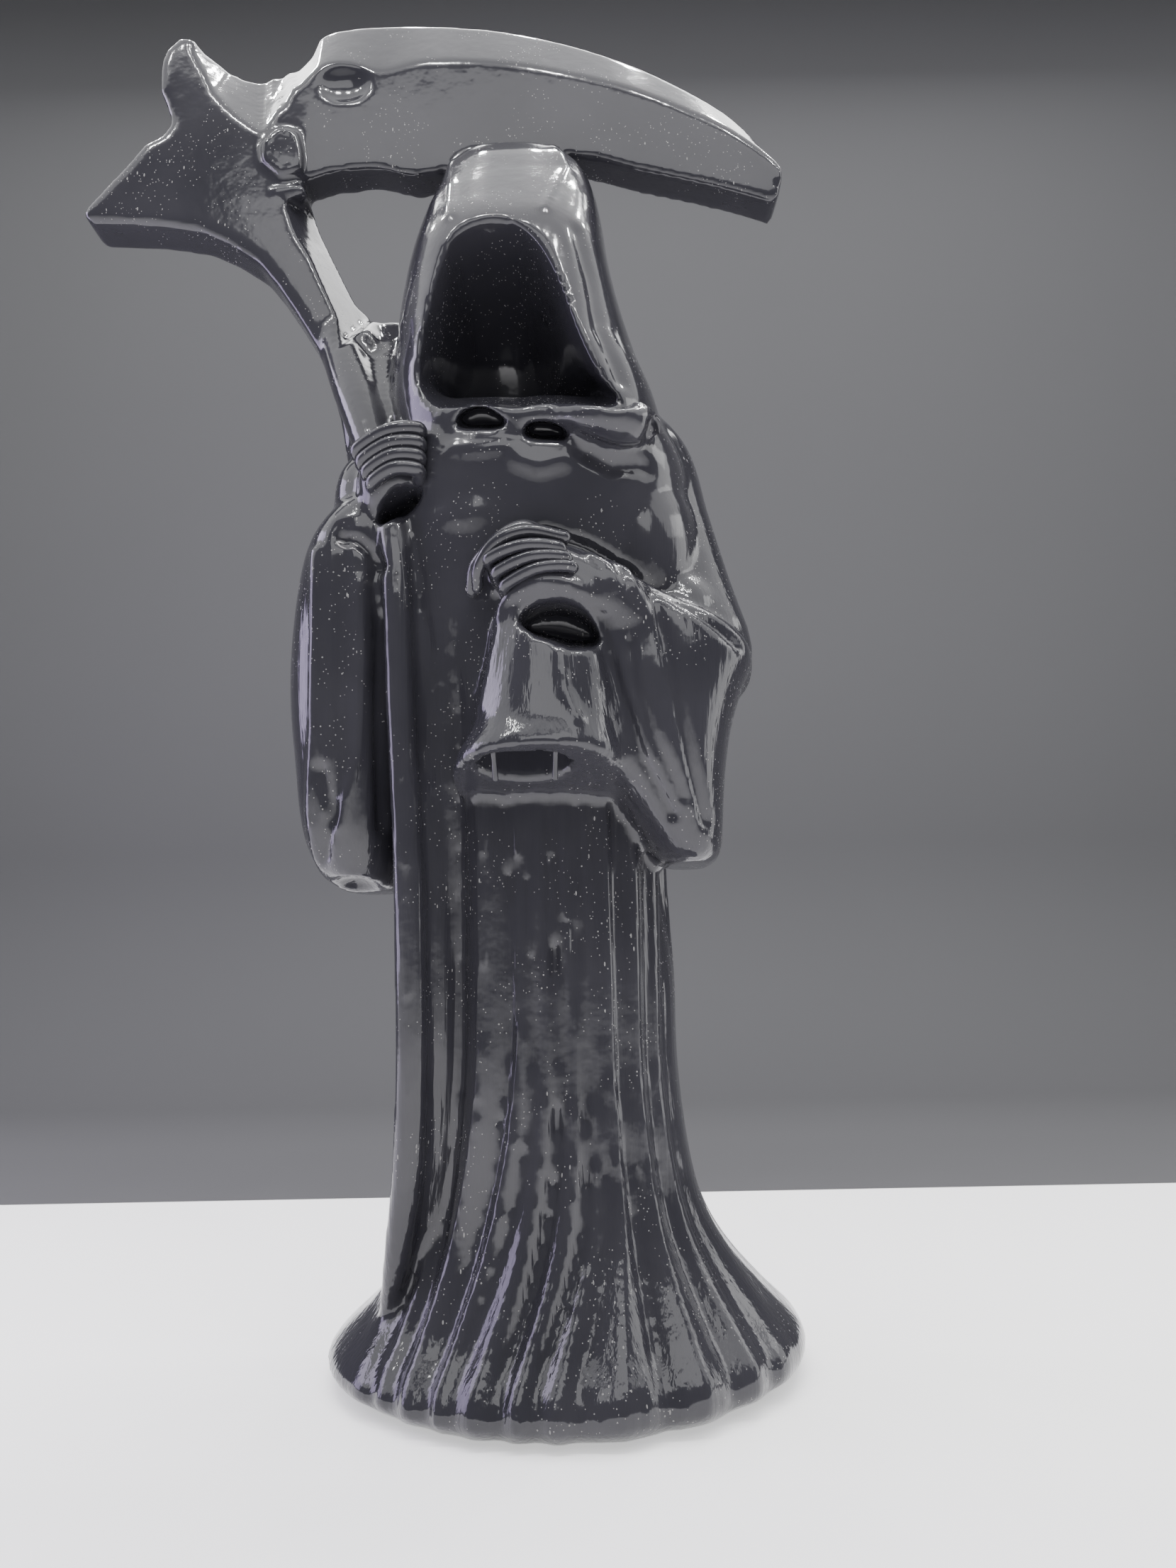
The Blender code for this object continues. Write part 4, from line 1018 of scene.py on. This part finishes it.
class REAPER_OT_carving(bpy.types.Operator):
    """Carve the whole figure and polish it"""

    bl_idname = "reaper.carving"
    bl_label = "Carve the figure"

    def execute(self, context):
        sizes = context.scene.reaper_sizes
        unit = sizes.height / SHARES
        sleeve = carved("sleeve", [
            stations_skin(LOWER_SLEEVE, SLEEVE_SQUARENESS),
            stations_skin(BELL, SLEEVE_SQUARENESS),
            tube(UPPER_ARM, ARM_POINTS, SECTION_STEP),
            tube(FOREARM, ARM_POINTS, SECTION_STEP),
        ], ([lip_skin()], [ball(*SLEEVE_MOUTH)]), sizes)
        skins = [
            taken(sleeve, unit),
            skin([robe_section(height, sizes.fold_depth) for height in heights_of(ROBE, SECTION_STEP)]),
            skin([hood_section(height) for height in heights_of(HOOD, SECTION_STEP)]),
            stations_skin(RAISED_SLEEVE, SLEEVE_SQUARENESS),
            stations_skin(WEB, SLEEVE_SQUARENESS),
            blade(),
            plate(HEAD, HEAD_FRONT, HEAD_BACK, HEAD_EDGE),
            plate(BOSS, BOSS_FRONT, HEAD_BACK, BOSS_EDGE),
            tube(STAFF),
            tube(staff_bed()),
            tube(NICHE_RIM),
            tube(LOBE),
        ]
        skins += [ball(centre, radii) for centre, radii in SWELLS]
        figure = carved("reaper_carving", skins, (
            [tube(SADDLE, GROOVE_POINTS)],
            [opening_skin(), slanted_skin(HORN_CUT), slanted_skin(STAFF_CUT), slanted_skin(SLEEVE_POCKET)]
            + [ball(centre, radii) for centre, radii in HOLLOWS],
            [slanted_skin(NICHE), slanted_skin(LEFT_POCKET)],
            [slanted_skin(RIGHT_POCKET)],
        ), sizes)
        worked(figure, "REMESH", mode="VOXEL", voxel_size=sizes.grain, adaptivity=0.0)
        worked(figure, "SMOOTH", factor=0.5, iterations=3)
        carve_lines(figure, unit)
        worked(figure, "SMOOTH", factor=0.5, iterations=1)
        worked(figure, "DECIMATE", ratio=FACE_LIMIT / (2 * len(figure.data.polygons)))
        fingers = finger_rows(*RAISED_FINGERS) + finger_rows(*LOWER_FINGERS) + [THUMB, INDEX_FINGER]
        small = [tube(rows, FINGER_POINTS, FINGER_STEP) for rows in fingers]
        small += [tube(rows, POST_POINTS, POST_STEP) for rows in MOUTH_POSTS]
        details = as_object("reaper_details", small, unit)
        bm = bmesh.new()
        bm.from_mesh(figure.data)
        bm.from_mesh(details.data)
        bm.to_mesh(figure.data)
        bm.free()
        bpy.data.objects.remove(details)
        figure.data.shade_smooth()
        figure.data.materials.clear()
        figure.data.materials.append(obsidian_material(context.scene.reaper_stone))
        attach(figure, BODY)
        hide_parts(NODE)
        return {"FINISHED"}


def panel_light(name, place, target, size, power, colour=WHITE):
    """Rectangular soft light aimed at a point."""
    data = bpy.data.lights.new(name, "AREA")
    data.shape = "RECTANGLE"
    data.size, data.size_y = size
    data.energy = power
    data.color = colour
    lamp = bpy.data.objects.new(name, data)
    lamp.location = place
    lamp.rotation_euler = (Vector(target) - Vector(place)).to_track_quat("-Z", "Y").to_euler()
    bpy.context.scene.collection.objects.link(lamp)


def stage_sheet(name, profile, material):
    """Wide sheet of the stage, drawn from one edge through its (depth, height) points."""
    bm = bmesh.new()
    edge = bm.edges.new([bm.verts.new((side, *profile[0])) for side in (-STAGE_REACH, STAGE_REACH)])
    for (y, z), (next_y, next_z) in zip(profile, profile[1:]):
        pushed = bmesh.ops.extrude_edge_only(bm, edges=[edge])["geom"]
        ends = [item for item in pushed if isinstance(item, bmesh.types.BMVert)]
        bmesh.ops.translate(bm, vec=(0.0, next_y - y, next_z - z), verts=ends)
        edge = bm.edges.get(ends)
    bmesh.ops.recalc_face_normals(bm, faces=bm.faces)
    mesh = bpy.data.meshes.new(name)
    bm.to_mesh(mesh)
    bm.free()
    mesh.shade_smooth()
    mesh.materials.append(material)
    sheet = bpy.data.objects.new(name, mesh)
    bpy.context.scene.collection.objects.link(sheet)


def backdrop_profile():
    """Side view of the backdrop: flat, a quarter bend, then upright."""
    turns = [math.pi / 2 * step / BEND_STEPS for step in range(BEND_STEPS + 1)]
    bend = [
        (BEND_START + BEND_RADIUS * math.sin(turn), BACKDROP_HEIGHT + BEND_RADIUS * (1.0 - math.cos(turn)))
        for turn in turns
    ]
    return [(BACKDROP_FRONT, BACKDROP_HEIGHT)] + bend + [(BEND_START + BEND_RADIUS, BACKDROP_TOP)]


class REAPER_OT_stage(bpy.types.Operator):
    """Set the floor, backdrop, lights and camera"""

    bl_idname = "reaper.stage"
    bl_label = "Set the stage"

    def execute(self, context):
        look = context.scene.reaper_studio
        stage_sheet("floor", [(FLOOR_FRONT, FLOOR_HEIGHT), (FLOOR_BACK, FLOOR_HEIGHT)],
                    plain_material("pale_floor", look.floor_colour, 0.5, FLOOR_GLOW))
        stage_sheet("backdrop", backdrop_profile(), plain_material("grey_backdrop", look.wall_colour, 0.8))
        panel_light("top_light", (0.0, -0.06, 0.62), (0.0, -0.02, 0.0), (2.4, 0.7), look.top_power)
        for index in range(LAMP_COUNT):
            side = (index - (LAMP_COUNT - 1) / 2) * LAMP_STEP
            for name, depth in LAMP_ROWS:
                panel_light(f"{name}_lamp_{index}", (side, depth, LAMP_HEIGHT), (side * 0.5, -0.01, 0.1),
                            (LAMP_SIZE, LAMP_SIZE), LAMP_POWER)
        for light in SIDE_LIGHTS:
            panel_light(*light)
        world = bpy.data.worlds.new("studio_air")
        world.use_nodes = True
        background = world.node_tree.nodes["Background"]
        background.inputs["Color"].default_value = AIR_COLOUR
        background.inputs["Strength"].default_value = AIR_STRENGTH
        context.scene.world = world
        data = bpy.data.cameras.new("camera")
        data.sensor_fit = "VERTICAL"
        data.sensor_height = CAMERA_SENSOR
        data.lens = CAMERA_LENS
        data.clip_start = 0.005
        camera = bpy.data.objects.new("camera", data)
        level = Vector((1.0, 0.0, 0.0))
        ahead = Vector((0.0, math.cos(CAMERA_TILT), math.sin(CAMERA_TILT)))
        over = Vector((0.0, -math.sin(CAMERA_TILT), math.cos(CAMERA_TILT)))
        side = math.cos(CAMERA_ROLL) * level + math.sin(CAMERA_ROLL) * over
        top = math.cos(CAMERA_ROLL) * over - math.sin(CAMERA_ROLL) * level
        turn = Matrix((side, top, -ahead)).transposed()
        camera.matrix_world = Matrix.Translation(CAMERA_PLACE) @ turn.to_4x4()
        context.scene.collection.objects.link(camera)
        context.scene.camera = camera
        return {"FINISHED"}


class REAPER_PT_panel(bpy.types.Panel):
    """Sizes, finish and studio of the reaper, with the steps that make it"""

    bl_idname = "REAPER_PT_panel"
    bl_label = "Obsidian reaper"
    bl_space_type = "VIEW_3D"
    bl_region_type = "UI"
    bl_category = "Reaper"

    def draw(self, context):
        scene = context.scene
        for group, step in (
            (scene.reaper_sizes, REAPER_OT_carving.bl_idname),
            (scene.reaper_stone, None),
            (scene.reaper_studio, REAPER_OT_stage.bl_idname),
        ):
            box = self.layout.box()
            for name in group.bl_rna.properties.keys():
                if name not in ("rna_type", "name"):
                    box.prop(group, name)
            if step:
                box.operator(step)


CLASSES = (CarvingSizes, StoneLook, StudioLook, REAPER_OT_carving, REAPER_OT_stage, REAPER_PT_panel)
GROUPS = (("reaper_sizes", CarvingSizes), ("reaper_stone", StoneLook), ("reaper_studio", StudioLook))


def register():
    for kind in CLASSES:
        bpy.utils.register_class(kind)
    for name, kind in GROUPS:
        setattr(bpy.types.Scene, name, bpy.props.PointerProperty(type=kind))


def unregister():
    for name, kind in GROUPS:
        delattr(bpy.types.Scene, name)
    for kind in reversed(CLASSES):
        bpy.utils.unregister_class(kind)


def main():
    register()
    bpy.ops.reaper.carving()
    bpy.ops.reaper.stage()


if __name__ == "__main__":
    main()
